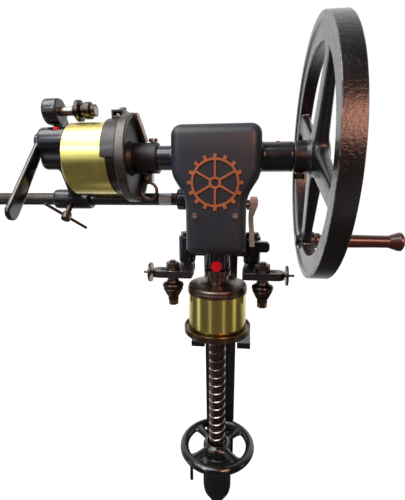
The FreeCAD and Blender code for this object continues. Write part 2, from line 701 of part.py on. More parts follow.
def make_table():
    top = -dim.screw_top
    foot = -dim.screw_foot
    keep("lift_screw", turned("z", (0, 0, foot), [
        (0, 0), (0, 11.5), (2, 13.5), (14, 13.5), (16, dim.screw_radius), (top - foot, dim.screw_radius),
        (top - foot, dim.pivot_radius), (top - foot + 13, dim.pivot_radius), (top - foot + 13, 0)]))
    keep("thrust_washer", tube("z", (top, -dim.plate_foot - dim.gap), (0, 0), 20, dim.pivot_radius))
    plate_high = dim.plate_foot - dim.plate_top
    rim_high = plate_high + dim.plate_rim
    rim = dim.plate_radius
    bore = dim.pivot_radius + dim.running
    keep("lifter_plate", turned("z", (0, 0, -dim.plate_foot), [
        (0, bore), (0, rim - 12), (4, rim - 1), (5, rim), (rim_high, rim), (rim_high, rim - 3),
        (plate_high, rim - 3.6), (plate_high, 0), (plate_high - 1.2, 0), (plate_high - 1.2, bore)]))
    keep("lower_can", cup("z", (0, 0, -dim.plate_top), dim.plate_top - dim.can_top, dim.can_radius))
    bottom = -dim.bracket_top + dim.gap
    wheel_z = -dim.handwheel_z
    ring = doc.addObject("Part::Torus", "Ring")
    bind(ring, "Radius1", dim.handwheel_ring)
    bind(ring, "Radius2", dim.handwheel_tube)
    place(ring, (0, 0, wheel_z))
    hub_high = wheel_z + dim.handwheel_rise
    pieces = [ring, rod("z", (bottom, hub_high), (0, 0), dim.handwheel_hub)]
    for step in range(4):
        angle = math.radians(45 + 90 * step)
        start = (20 * math.cos(angle), 20 * math.sin(angle), wheel_z)
        end = (dim.handwheel_ring * math.cos(angle), dim.handwheel_ring * math.sin(angle), wheel_z)
        pieces.append(leaning_rod(start, end, dim.handwheel_spoke))
    bore = rod("z", (bottom - 1, hub_high + 1), (0, 0), dim.nut_radius)
    keep("handwheel", less(joined(*pieces), bore))
    keep("lift_nut", tube("z", (bottom, hub_high), (0, 0), dim.nut_radius, dim.screw_radius + 0.35))


# Seaming arms, rollers and their lever
def make_arm(name, side):
    top = -dim.arm_top
    low = top - dim.arm_thick
    pivot = (side * dim.arm_pivot_x, dim.arm_pivot_y)
    roller = (side * dim.roller_x, -dim.roller_y)
    outline = [(dim.arm_inner, -dim.arm_front), (dim.arm_outer, -dim.arm_front),
               (dim.arm_outer, dim.arm_rear), (dim.roller_x, dim.arm_rear),
               (dim.arm_pivot_x + 13, dim.arm_pivot_y), (dim.arm_pivot_x - 13, dim.arm_pivot_y),
               (dim.arm_inner, dim.arm_rear)]
    bar = plate("z", [(side * x, y) for x, y in outline], (low, top))
    ends = dim.arm_outer.value - 1
    round_edges(bar, dim.arm_round, lambda edge: runs_along("z")(edge) and abs(edge.BoundBox.XMax) < ends)
    round_edges(bar, dim.arm_end_round, lambda edge: runs_along("z")(edge) and abs(edge.BoundBox.XMax) > ends)
    eye = rod("z", (low, top), pivot, 14)
    bounds = [side * dim.arm_slot_inner, side * dim.arm_slot_outer]
    bounds.sort(key=lambda place: place.value)
    slot = block(bounds, (-dim.roller_y - dim.slot_half, -dim.roller_y + dim.slot_half), (low - 1, top + 1))
    screw_z = top - dim.arm_thick / 2
    outer = sorted((side * 96, side * 112))
    tap = rod("x", outer, (-dim.roller_y, screw_z), 3 + dim.running)
    keep(name + "_arm", less(joined(bar, eye), slot, tap,
                             rod("z", (low - 1, top + 1), pivot, dim.pivot_pin + dim.running)))
    keep(name + "_roller_bolt", joined(
        rod("z", (low - 51, top + 16), roller, dim.roller_bolt),
        rod("z", (top, top + 2.5), roller, 12),
        hexagon("z", (top + 2.5, top + 12.5), roller, 11.5),
        rod("z", (low - 6, low), roller, 9),
        hexagon("z", (low - 50, low - 42), roller, 8.5)))
    wheel = dim.roller_radius
    bore = dim.roller_bolt + dim.running
    keep(name + "_roller", turned("-z", (roller[0], roller[1], low - 6 - dim.gap), [
        (0, bore), (0, 10), (3, 11), (6, wheel - 1), (8, wheel), (11, wheel), (12, wheel - 2),
        (14, wheel - 2), (15, wheel - 1), (17, wheel - 2), (27, 11), (28, dim.roller_low),
        (35, dim.roller_low), (35, bore)]))
    spans = [sorted((side * first, side * last)) for first, last in ((88, 113), (113, 116.5), (116.5, 127))]
    pieces = [rod("x", span, (-dim.roller_y, screw_z), radius)
              for span, radius in zip(spans, (3, dim.disc_radius, 2))]
    keep(name + "_adjuster", joined(*pieces))


def make_arm_pins():
    pins = []
    low = -dim.arm_top - dim.arm_thick
    for side in (-1, 1):
        pivot = (side * dim.arm_pivot_x, dim.arm_pivot_y)
        pins.append(joined(
            rod("z", (low - 4, -dim.head_bottom + 16), pivot, dim.pivot_pin),
            rod("z", (low - 4, low - dim.gap), pivot, 11),
            hexagon("z", (-dim.head_bottom + 16, -dim.head_bottom + 23), pivot, 11)))
    keep("arm_pivot_pins", group(*pins))


def make_lever():
    x = dim.lever_x
    outer = x + dim.lever_thick
    y = dim.lever_y
    z = -dim.lever_z
    low = z - dim.lever_length
    strip = plate("x", [(y - 9, z), (y - 6, low - 8), (y + 6, low - 8), (y + 9, z)], (x, outer))
    eye = rod("x", (x, outer), (y, z), 10)
    end = outer + 29
    grip = plate("y", [(outer, low - 10), (end - 4, low - 10), (end, low - 6), (end, low + 4),
                       (end - 4, low + 8), (outer, low + 8)], (y - 8, y + 8))
    round_edges(grip, 2.5, lambda edge: edge.BoundBox.XMax > outer.value + 1)
    hole = rod("x", (x - 1, outer + 1), (y, z), 5 + dim.running)
    keep("seam_lever", less(joined(strip, eye), hole))
    keep("seam_lever_grip", grip)
    side = dim.waist_half
    keep("lever_pivot_bolt", joined(
        rod("x", (side - 9, outer + 2), (y, z), 5),
        rod("x", (side + 0.8, x - dim.gap), (y, z), 8),
        hexagon("x", (outer + dim.gap, outer + 6), (y, z), 8.5)))


# Trimming head on the left neck
def make_trim_head():
    left = -dim.trim_left
    right = -dim.trim_right
    hub_right = -dim.trim_hub_right
    wide = right - left
    floor = wide - dim.trim_recess
    ring = dim.trim_ring
    bore = dim.trim_bore
    disc = turned("x", (left, 0, 0), [
        (0, bore), (0, ring - 2), (2, ring), (wide - 1, ring), (wide, ring - 1), (wide, ring - 7),
        (floor, ring - 8.5), (floor, dim.trim_hub + 4), (wide - 4, dim.trim_hub),
        (hub_right - left, dim.trim_hub), (hub_right - left, dim.neck_radius), (wide, dim.neck_radius),
        (wide, bore)])
    keep("trim_head", less(disc, hub_screw_hole()))
    guard = doc.addObject("Part::Cylinder", "GuardOuter")
    core = doc.addObject("Part::Cylinder", "GuardInner")
    for piece, radius, extra in ((guard, dim.guard_radius, 0), (core, dim.guard_inner, 1)):
        bind(piece, "Radius", radius)
        bind(piece, "Height", dim.guard_left - dim.trim_left + 2 * extra)
        place(piece, (-dim.guard_left - extra, 0, 0), Rotation(Vector(1, 0, 0), 120) * AXIS_TURNS["x"])
    bind(guard, "Angle", dim.guard_sweep)
    keep("guard_segment", less(guard, core))
    block_left = -dim.guard_left + 4
    tower = less(block((block_left, left), (-14, 16), (50, 74)),
                 rod("x", (block_left - 1, left + 1), (0, 0), dim.guard_radius))
    window = block((block_left + 3, left - 3), (-15, 6), (64.5, 70.5))
    keep("tool_block", less(tower, window))
    stay = plate("y", [(right, 66), (right + 3, 70), (right + 17, 27), (right + 13, 25)], (-8, 8))
    keep("stay_plate", stay)
    keep("trim_head_bolts", group(
        joined(hub_screw_hole(), rod("z", (dim.trim_hub + 1, dim.trim_hub + 6), (-dim.hub_screw_x, 0), 7)),
        hexagon("z", (74, 78.5), (left - 6, 0), 6),
        rod("z", (64.5, 68), ((block_left + left) / 2, -9), 4.5),
        joined(block((-dim.trip_x - 5.5, -dim.trip_x + 5.5), (-6, 6), (-dim.trip_z - 5, -dim.trim_hub)),
               rod("y", (-15, -6), (-dim.trip_x, -dim.trip_z), 3))))
    eye = tube("y", (-12.5, -7), (-dim.trip_x, -dim.trip_z), 6, 3 + dim.running)
    loop = doc.addObject("Part::Torus", "Loop")
    bind(loop, "Radius1", dim.loop_radius)
    bind(loop, "Radius2", dim.loop_wire)
    place(loop, (-dim.trip_x, -9.75, -dim.trip_z - dim.loop_radius - 6.5), Rotation(Vector(1, 0, 0), 90))
    keep("trip_loop", joined(eye, loop))


def hub_screw_hole():
    return rod("z", (dim.neck_radius, dim.trim_hub + 1), (-dim.hub_screw_x, 0), 4)


def make_side_station():
    disc_right = -dim.trim_left - 1
    disc = rod("x", (-166, disc_right), (0, 0), dim.drive_radius)
    keep("drive_disc", less(disc, rod("x", (-dim.shaft_left, disc_right + 1), (0, 0), dim.shaft_radius)))
    can_length = dim.side_can_left - dim.side_can_right
    keep("side_can", cup("x", (-dim.side_can_left, 0, 0), can_length, dim.side_can_radius))
    keep("side_bar", rod("x", (-dim.bar_left, -dim.waist_half - 2), (dim.bar_y, -dim.bar_z), dim.bar_radius))


# Tailstock on the side bar
def make_tailstock():
    left = -dim.tail_left
    right = -dim.tail_right
    lever_z = dim.tail_lever_z
    bar = (dim.bar_y, -dim.bar_z)
    pin = (dim.tool_pin_y, dim.tool_pin_z)
    solids = [
        rod("x", (left, right), (0, lever_z), dim.tail_boss),
        rod("x", (left, right), (0, 0), dim.centre_boss),
        block((left, right), (-dim.centre_boss, dim.centre_boss), (0, lever_z)),
        rod("x", (-dim.clamp_left, -dim.clamp_right), bar, dim.clamp_radius),
        plate("x", [(-8, -10), (16, 10), (dim.bar_y + 10, -dim.bar_z + 4), (dim.bar_y - 14, -dim.bar_z - 6)],
              (right - 22, right - 4)),
    ]
    for span in ((left, left + 10), (left + 26, left + 36)):
        ear = [(0, 6), (0, lever_z + 23), (pin[0], pin[1] + 11), (pin[0], pin[1] - 11)]
        solids.append(plate("x", ear, span))
        solids.append(rod("x", span, pin, 11))
    cuts = [
        rod("x", (left - 1, right + 1), (0, lever_z), dim.lever_shaft + dim.running),
        rod("x", (left + 5, right + 1), (0, 0), dim.centre_shaft + dim.running),
        rod("x", (-dim.clamp_left - 1, -dim.clamp_right + 1), bar, dim.bar_radius + dim.running),
        rod("x", (left - 1, right + 1), pin, dim.tool_pin),
        tail_oil_hole(),
        clamp_rod(dim.bar_radius, dim.bar_radius + 19, dim.clamp_screw_radius + dim.running),
    ]
    keep("tailstock", less(joined(*solids), *cuts))
    keep("tail_oil_cap", tail_oil_hole())
    hub = clamp_point(TOMMY_REACH)
    angle = math.radians(DIMENSIONS["tommy_turn"])
    across = dim.tommy_half * math.cos(angle)
    fall = dim.tommy_half * math.sin(angle) * CLAMP_LEAN
    tommy_start = (hub[0] - across, hub[1] - fall, hub[2] + fall)
    tommy_end = (hub[0] + across, hub[1] + fall, hub[2] - fall)
    keep("tail_clamp_screw", joined(
        clamp_rod(dim.bar_radius + 0.6, TOMMY_REACH, dim.clamp_screw_radius),
        clamp_rod(TOMMY_REACH - 6.5, TOMMY_REACH + 6.5, 8),
        leaning_rod(tommy_start, tommy_end, dim.tommy_radius)))
    keep("tail_centre", joined(
        rod("x", (left + 6, right + 2), (0, 0), dim.centre_shaft),
        rod("x", (right + 2, -dim.side_can_left - 0.4), (0, 0), 28)))
    shaft_end = right - 4
    keep("lever_shaft", rod("x", (left - 10, shaft_end), (0, lever_z), dim.lever_shaft))
    drop = dim.tail_lever_drop
    forward = dim.tail_lever_forward
    end = (-forward, lever_z - drop)
    blade_span = (left - 9, left - 2)
    blade = plate("x", [(-8, lever_z + 5), (end[0] - 10, end[1] + 7), (end[0] + 12, end[1] - 7),
                        (8, lever_z - 6)], blade_span)
    eye = rod("x", (left - 10, left - 0.5), (0, lever_z), 15)
    lever = joined(eye, blade, rod("x", blade_span, end, 13))
    keep("tail_lever", less(lever, rod("x", (left - 11, left), (0, lever_z), dim.lever_shaft)))


def clamp_point(distance):
    """A point on the axis of the clamping screw, which leans down and to the front."""
    return (-dim.clamp_screw_x, dim.bar_y - distance * CLAMP_LEAN, -dim.bar_z - distance * CLAMP_LEAN)


def clamp_rod(start, end, radius):
    return leaning_rod(clamp_point(start), clamp_point(end), radius)


def tail_oil_hole():
    return rod("z", (43, 50.6), (-262, -10), 5)


def make_tool_arm():
    left = -dim.tail_left
    pin = (dim.tool_pin_y, dim.tool_pin_z)
    tool = (dim.tool_y, dim.tool_z)
    span = (left + 11, left + 25)
    link = plate("x", [(tool[0] - 10, tool[1] + 14), (tool[0] + 10, tool[1] + 19), (pin[0] + 8, pin[1] + 7),
                       (pin[0] - 8, pin[1] - 7), (tool[0] - 14, tool[1] - 8)], span)
    boss = rod("x", (-dim.tool_left, -dim.tool_right), tool, dim.tool_boss)
    eye = rod("x", span, pin, 11)
    keep("tool_arm", less(joined(boss, link, eye),
                          rod("x", (span[0] - 1, span[1] + 1), pin, dim.tool_pin + dim.running),
                          rod("x", (-dim.tool_left + 8, -dim.tool_right + 1), tool, dim.tool_shaft_radius)))
    keep("tool_arm_pin", rod("x", (left - 3, left + 39), pin, dim.tool_pin))
    keep("tool_shaft", rod("x", (-dim.tool_left + 8, -200), tool, dim.tool_shaft_radius))
    bore = dim.tool_shaft_radius + dim.running
    wheel = dim.tool_roller_radius
    keep("tool_roller", turned("x", (-237, tool[0], tool[1]), [
        (0, bore), (0, 9.5), (4, 9.5), (5, wheel - 1), (6, wheel), (12, wheel), (13, wheel - 1), (14, 10.5),
        (19, 10.5), (20, 12.5), (21, 13.5), (29, 13.5), (30, 12.5), (31, 9.5), (37, 9.5), (37, bore)]))


make_cover()
make_emblem()
make_housing()
make_bushes()
make_column()
make_flange()
make_bracket()
make_crank()
make_gears()
make_spindle()
make_table()
make_arm("left", -1)
make_arm("right", 1)
make_arm_pins()
make_lever()
make_trim_head()
make_side_station()
make_tailstock()
make_tool_arm()
doc.recompute()

for obj in doc.Objects:
    if "Invalid" in obj.State or "Error" in obj.State:
        raise RuntimeError("%s (%s) did not build" % (obj.Name, obj.Label))
for label, obj in nodes.items():
    if obj.Shape.isNull() or not obj.Shape.isValid():
        raise RuntimeError("%s has no valid shape" % label)

os.makedirs("parts", exist_ok=True)
for label, obj in nodes.items():
    obj.Shape.exportStep("parts/%s.step" % label)
print(len(nodes), "pieces written")
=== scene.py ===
"""Looks of the hand-cranked can seaming machine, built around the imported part."""

import math

import bmesh
import bpy
from mathutils import Matrix, Vector


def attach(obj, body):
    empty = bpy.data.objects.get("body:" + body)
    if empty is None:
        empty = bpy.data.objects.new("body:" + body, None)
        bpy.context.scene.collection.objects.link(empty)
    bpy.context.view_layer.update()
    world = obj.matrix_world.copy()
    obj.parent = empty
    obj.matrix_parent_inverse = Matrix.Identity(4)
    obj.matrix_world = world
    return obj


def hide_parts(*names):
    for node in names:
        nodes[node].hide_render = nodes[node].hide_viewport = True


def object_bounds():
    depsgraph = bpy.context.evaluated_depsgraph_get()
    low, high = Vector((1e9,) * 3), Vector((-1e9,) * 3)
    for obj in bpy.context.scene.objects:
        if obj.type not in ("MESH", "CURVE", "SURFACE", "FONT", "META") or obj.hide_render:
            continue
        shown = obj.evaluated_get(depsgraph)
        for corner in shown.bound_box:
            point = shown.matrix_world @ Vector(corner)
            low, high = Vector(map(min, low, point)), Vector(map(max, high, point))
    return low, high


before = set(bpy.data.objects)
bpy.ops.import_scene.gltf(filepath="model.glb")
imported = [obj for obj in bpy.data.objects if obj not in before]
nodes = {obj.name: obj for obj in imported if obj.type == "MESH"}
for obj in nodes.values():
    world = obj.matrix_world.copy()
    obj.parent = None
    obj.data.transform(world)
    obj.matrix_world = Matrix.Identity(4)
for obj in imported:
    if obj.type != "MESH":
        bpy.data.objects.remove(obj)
packed_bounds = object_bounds()
scene = bpy.context.scene

# Place of the shaft and spindle axes in the row frame, metres
SPINDLE_Y = -0.152
SHAFT_Z = 0.375
PER_METRE = 1000


def from_axes(x, y, z):
    """A point in millimetres from the meeting of shaft and spindle axes, in the row frame."""
    return Vector((x / PER_METRE, SPINDLE_Y + y / PER_METRE, SHAFT_Z + z / PER_METRE))


MEETING = from_axes(0, 0, 0)


# Node trees
# Sockets of a mix node for each kind of data: factor, first, second and result
MIX_SOCKETS = {"RGBA": (0, 6, 7, 2), "FLOAT": (0, 2, 3, 0)}
WHITE = (1.0, 1.0, 1.0)


class Graph:
    """The node tree of a material or a world, with short ways to add and feed nodes."""

    def __init__(self, owner):
        owner.use_nodes = True
        self.tree = owner.node_tree

    def add(self, kind, **settings):
        """A new node with some of its settings."""
        node = self.tree.nodes.new(kind)
        for key, setting in settings.items():
            setattr(node, key, setting)
        return node

    def feed(self, socket, value):
        """Join an output to an input, or set the input to a number, a vector or an opaque colour."""
        if isinstance(value, bpy.types.NodeSocket):
            self.tree.links.new(value, socket)
        elif socket.type == "RGBA":
            socket.default_value = (*value, 1.0)
        else:
            socket.default_value = value

    def fill(self, node, **values):
        """Feed a node's inputs by name, with an underscore for each space."""
        for name, value in values.items():
            self.feed(node.inputs[name.replace("_", " ")], value)

    def calculate(self, kind, operation, *values):
        """A math node whose inputs are fed in order."""
        node = self.add(kind, operation=operation)
        for socket, value in zip(node.inputs, values):
            self.feed(socket, value)
        return node

    def mix(self, factor, first, second, kind="RGBA"):
        """Two colours, or two numbers of kind FLOAT, mixed by a factor."""
        node = self.add("ShaderNodeMix", data_type=kind)
        *places, result = MIX_SOCKETS[kind]
        for place, value in zip(places, (factor, first, second)):
            self.feed(node.inputs[place], value)
        return node.outputs[result]

    def depth(self, vector):
        """How far back a vector reaches: its Y part."""
        parts = self.add("ShaderNodeSeparateXYZ")
        self.fill(parts, Vector=vector)
        return parts.outputs["Y"]


class Shader(Graph):
    """A material on the principled shader, with its textures in object coordinates."""

    def __init__(self, name):
        self.material = bpy.data.materials.new(name)
        super().__init__(self.material)
        self.surface = self.tree.nodes["Principled BSDF"]
        self.position = self.add("ShaderNodeTexCoord").outputs["Object"]

    def set(self, **values):
        """Feed inputs of the surface."""
        self.fill(self.surface, **values)

    def stretched(self, axis, along, across):
        """Object coordinates scaled by one factor along an axis and by another across it."""
        mapping = self.add("ShaderNodeMapping")
        factors = [along if direction == axis else across for direction in "xyz"]
        self.fill(mapping, Scale=factors, Vector=self.position)
        return mapping.outputs["Vector"]

    def noise(self, scale, detail=4.0, roughness=0.6, vector=None):
        """Noise over object coordinates, or over a vector."""
        node = self.add("ShaderNodeTexNoise")
        place = self.position if vector is None else vector
        self.fill(node, Scale=scale, Detail=detail, Roughness=roughness, Vector=place)
        return node.outputs["Fac"]

    def ramp(self, source, stops):
        """A colour ramp; each stop is a position and a colour or grey."""
        node = self.add("ShaderNodeValToRGB")
        elements = node.color_ramp.elements
        while len(elements) < len(stops):
            elements.new(0.5)
        for element, (position, colour) in zip(elements, stops):
            element.position = position
            shades = (colour,) * 3 if isinstance(colour, (int, float)) else tuple(colour)
            element.color = (*shades, 1.0)
        self.fill(node, Fac=source)
        return node.outputs["Color"]

    def spread(self, source, low, high, band=(0.3, 0.7)):
        """A ramp from one colour or grey to another across a band of the source."""
        return self.ramp(source, list(zip(band, (low, high))))

    def product(self, first, second):
        """Two numbers multiplied."""
        return self.calculate("ShaderNodeMath", "MULTIPLY", first, second).outputs["Value"]

    def reach(self, middle, across):
        """Distance from an axis through a point; the axis is the direction that across leaves out."""
        kind = "ShaderNodeVectorMath"
        offset = self.calculate(kind, "SUBTRACT", self.position, middle).outputs["Vector"]
        flat = self.calculate(kind, "MULTIPLY", offset, across).outputs["Vector"]
        return self.calculate(kind, "LENGTH", flat).outputs["Value"]

    def share(self, source, low, high):
        """A value turned into a share, 0 at low and 1 at high."""
        node = self.add("ShaderNodeMapRange")
        self.fill(node, Value=source, From_Min=low, From_Max=high)
        return node.outputs["Result"]

    def soft_normal(self, radius):
        """Normals rounded over the sharp edges, as on a casting or a broken edge."""
        bevel = self.add("ShaderNodeBevel", samples=6)
        self.fill(bevel, Radius=radius)
        return bevel.outputs["Normal"]

    def edge_mask(self, rounded):
        """Bright where the rounded normals leave the true ones: along the edges."""
        true_normal = self.add("ShaderNodeNewGeometry").outputs["Normal"]
        agreement = self.calculate("ShaderNodeVectorMath", "DOT_PRODUCT", rounded, true_normal)
        return self.spread(agreement.outputs["Value"], 1.0, 0.0, band=(0.80, 0.985))

    def bump(self, height, strength, normal, depth=0.0006):
        """Relief on the surface, on top of rounded normals."""
        node = self.add("ShaderNodeBump")
        self.fill(node, Height=height, Strength=strength, Normal=normal, Distance=depth)
        self.set(Normal=node.outputs["Normal"])


# Materials
STEEL_GREY = (0.42, 0.40, 0.38)
# Light steel for the edge lines of the wheel and the arms, mostly a painted highlight
HIGHLIGHT_EDGE_STEEL = (0.75, 0.73, 0.70)
COLOURS = {
    "black": (0.007, 0.0092, 0.0145),
    "wheel": (0.008, 0.008, 0.009),
    "gloss": (0.004, 0.004, 0.005),
    "arm": (0.014, 0.014, 0.016),
    "guard": (0.024, 0.023, 0.024),
    "pit": (0.005, 0.005, 0.006),
    "ring": (0.13, 0.12, 0.11),
    "satin": (0.018, 0.024, 0.034),
    "copper": (0.33, 0.105, 0.04),
    "red": (0.62, 0.008, 0.016),
    "bright": (0.38, 0.35, 0.32),
    "brown": (0.17, 0.125, 0.10),
    "roller": (0.075, 0.06, 0.052),
    "bronze": (0.40, 0.27, 0.13),
    "bar": (0.085, 0.078, 0.074),
    "screw": (0.15, 0.10, 0.08),
    "strip": (0.74, 0.80, 0.84),
    "gold": (0.83, 0.70, 0.19),
    "dark_wood": (0.035, 0.010, 0.007),
    "light_wood": (0.095, 0.026, 0.016),
}

# Old oil on steel multiplies its colour, channel by channel and as a whole
OIL_TINT = (0.75, 0.62, 0.5)
OIL_SHADE = 0.8

# Radii in metres: from paint to bright ring on the trimming head, and the band on the thread's flanks that
# gets a painted highlight
RING_START = 0.0632
RING_CHANGE = (RING_START, RING_START + 0.001)
THREAD_HIGHLIGHT = (0.0134, 0.015)


def scaled(colour, factor):
    """A colour made darker or lighter."""
    return tuple(min(1.0, channel * factor) for channel in colour)


def two_shades(colour, darker, lighter):
    """A darker and a lighter shade of a colour."""
    return scaled(colour, darker), scaled(colour, lighter)


def painted(name, colour, roughness, wear_and_highlight, wear_and_highlight_colour=STEEL_GREY, edge=0.0022, grain=0.07,
            grain_scale=380.0, grain_depth=0.0006, coat=0.0, coat_roughness=0.14):
    """Enamel on a casting: slightly uneven colour and gloss, lighter along the edges, partly as paint rubbed
    bare and partly as a painted highlight.
    """
    shader = Shader(name)
    base = shader.spread(shader.noise(scale=18.0), *two_shades(colour, darker=0.8, lighter=1.25))
    rounded = shader.soft_normal(edge)
    broken = shader.spread(shader.noise(scale=70.0, detail=6.0), 0.0, 1.0, band=(0.42, 0.62))
    # Lighter edges: partly paint rubbed bare, partly a painted highlight that gives the wheel and the arms
    # their bright edge lines
    rubbed = shader.product(shader.product(shader.edge_mask(rounded), broken), wear_and_highlight)
    shader.set(Base_Color=shader.mix(rubbed, base, wear_and_highlight_colour), Metallic=rubbed)
    shader.set(Coat_Weight=coat, Coat_Roughness=coat_roughness)
    shader.set(Roughness=shader.spread(shader.noise(scale=45.0), *roughness, band=(0.35, 0.65)))
    shader.bump(shader.noise(grain_scale, detail=3.0), grain, rounded, grain_depth)
    return shader.material


def turned_steel(name, colour, axis, roughness=(0.22, 0.40), contrast=0.35, stain=0.6):
    """Machined steel with fine tool marks round the piece's own axis."""
    shader = Shader(name)
    marks = shader.noise(scale=1.0, detail=3.0, vector=shader.stretched(axis, along=900.0, across=9.0))
    stains = shader.noise(scale=34.0, detail=5.0)
    lines = shader.spread(marks, *two_shades(colour, 1 - contrast, 1 + contrast), band=(0.35, 0.65))
    stained = shader.spread(stains, 0.0, stain, band=(0.35, 0.75))
    oiled = scaled([channel * tint for channel, tint in zip(colour, OIL_TINT)], OIL_SHADE)
    shader.set(Base_Color=shader.mix(stained, lines, oiled), Metallic=1.0)
    shader.set(Roughness=shader.spread(stains, *roughness))
    shader.bump(marks, strength=0.12, normal=shader.soft_normal(radius=0.0006))
    return shader.material


def lacquered_tin(name, colour, axis, roughness):
    """Gold lacquer over tinplate with rolling lines."""
    shader = Shader(name)
    place = shader.stretched(axis, along=650.0, across=5.0)
    lines = shader.noise(scale=1.0, detail=2.0, roughness=0.5, vector=place)
    base = shader.spread(lines, *two_shades(colour, darker=0.92, lighter=1.05))
    shader.set(Base_Color=base, Metallic=1.0, Coat_Weight=0.35, Coat_Roughness=0.08)
    shader.set(Roughness=shader.spread(lines, *roughness))
    shader.bump(lines, strength=0.015, normal=shader.soft_normal(radius=0.0005))
    return shader.material


def ringed_casting(name, pit, steel, middle, change, roughness):
    """A casting about the X axis, painted inside and turned bright on its outer ring."""
    shader = Shader(name)
    outer = shader.share(shader.reach(middle, across=(0.0, 1.0, 1.0)), *change)
    stains = shader.noise(scale=60.0, detail=5.0)
    worn = shader.spread(stains, *two_shades(steel, darker=0.6, lighter=1.3))
    shader.set(Base_Color=shader.mix(outer, pit, worn), Metallic=outer)
    shader.set(Roughness=shader.spread(stains, *roughness))
    grain = shader.noise(scale=300.0, detail=3.0)
    shader.bump(grain, strength=0.08, normal=shader.soft_normal(radius=0.001))
    return shader.material


def highlighted_thread(name, colour, highlight_colour, middle, rubbed, roughness):
    """Dark oiled screw steel about a vertical axis, with a painted highlight of light steel in a band on the
    flanks next to the crest.
    """
    shader = Shader(name)
    stains = shader.noise(scale=50.0, detail=5.0)
    oiled = shader.spread(stains, *two_shades(colour, darker=0.65, lighter=1.3))
    # Painted highlight: light steel in a band of radii on the flanks, where the upper flank catches the light
    across = shader.share(shader.reach(middle, across=(1.0, 1.0, 0.0)), *rubbed)
    edge = shader.ramp(across, [(0.0, 0.0), (0.05, 1.0), (0.88, 1.0), (0.95, 0.0)])
    shader.set(Base_Color=shader.mix(edge, oiled, highlight_colour), Metallic=1.0)
    shader.set(Roughness=shader.spread(stains, *roughness))
    shader.bump(stains, strength=0.06, normal=shader.soft_normal(radius=0.0004))
    return shader.material


def turned_wood(name, dark, light, roughness):
    """Hardwood turned along X under red-brown lacquer."""
    shader = Shader(name)
    place = shader.stretched("x", along=14.0, across=190.0)
    grain = shader.noise(scale=1.0, detail=5.0, roughness=0.65, vector=place)
    shader.set(Base_Color=shader.spread(grain, dark, light), Coat_Weight=0.6, Coat_Roughness=0.12)
    shader.set(Roughness=shader.spread(grain, *roughness))
    shader.bump(grain, strength=0.05, normal=shader.soft_normal(radius=0.0008))
    return shader.material


MATERIALS = {
    "casting": painted("casting_enamel", COLOURS["black"], (0.22, 0.30), wear_and_highlight=0.15, coat=0.4),
    "cover": painted("cover_enamel", COLOURS["satin"], (0.40, 0.46), wear_and_highlight=0.1, grain=0.02),
    # Wheel: its bright edge lines are partly rubbed paint and mostly a painted highlight
    "wheel": painted("wheel_enamel", COLOURS["wheel"], (0.20, 0.28), wear_and_highlight=0.9, wear_and_highlight_colour=HIGHLIGHT_EDGE_STEEL,
                     edge=0.0024, grain=0.9, grain_scale=230.0, grain_depth=0.0008, coat=0.25,
                     coat_roughness=0.16),
    "gloss": painted("handwheel_enamel", COLOURS["gloss"], (0.12, 0.22), wear_and_highlight=0.1, coat=0.8),
    # Arms: their light edge lines are a painted highlight
    "arm": painted("arm_enamel", COLOURS["arm"], (0.26, 0.36), wear_and_highlight=0.8, wear_and_highlight_colour=HIGHLIGHT_EDGE_STEEL, edge=0.0013),
    "guard": painted("guard_enamel", COLOURS["guard"], (0.30, 0.42), wear_and_highlight=0.4),
    "copper": painted("copper_paint", COLOURS["copper"], (0.34, 0.5), wear_and_highlight=0.6,
                      wear_and_highlight_colour=scaled(COLOURS["copper"], 1.5), edge=0.0006),
    "red": painted("signal_red", COLOURS["red"], (0.22, 0.32), wear_and_highlight=0.1, edge=0.0006, grain=0.1),
    "pit": ringed_casting("trim_ring_steel", COLOURS["pit"], COLOURS["ring"], MEETING, RING_CHANGE,
                          roughness=(0.36, 0.52)),
    "dull": turned_steel("dull_steel", COLOURS["strip"], "y", roughness=(0.45, 0.6), contrast=0.12,
                         stain=0.1),
    "head": turned_steel("screw_head_steel", COLOURS["bright"], "y", roughness=(0.45, 0.6)),
    "bar": turned_steel("bar_steel", COLOURS["bar"], "x", roughness=(0.3, 0.45)),
    "gold_x": lacquered_tin("gold_lacquer_x", COLOURS["gold"], "x", (0.28, 0.36)),
    "gold_z": lacquered_tin("gold_lacquer_z", COLOURS["gold"], "z", (0.19, 0.26)),
    "screw": highlighted_thread("screw_steel", COLOURS["screw"], STEEL_GREY, MEETING, THREAD_HIGHLIGHT,
                         roughness=(0.22, 0.36)),
    "wood": turned_wood("grip_wood", COLOURS["dark_wood"], COLOURS["light_wood"], (0.30, 0.42)),
}

# Metals that are turned about more than one axis
TURNED = {
    "bright": ("bright_steel", "xyz"),
    "brown": ("brown_steel", "xz"),
    "roller": ("roller_steel", "xz"),
    "bronze": ("bronze", "xz"),
}
for key, (name, axes) in TURNED.items():
    for axis in axes:
        MATERIALS[key + "_" + axis] = turned_steel(name + "_" + axis, COLOURS[key], axis)

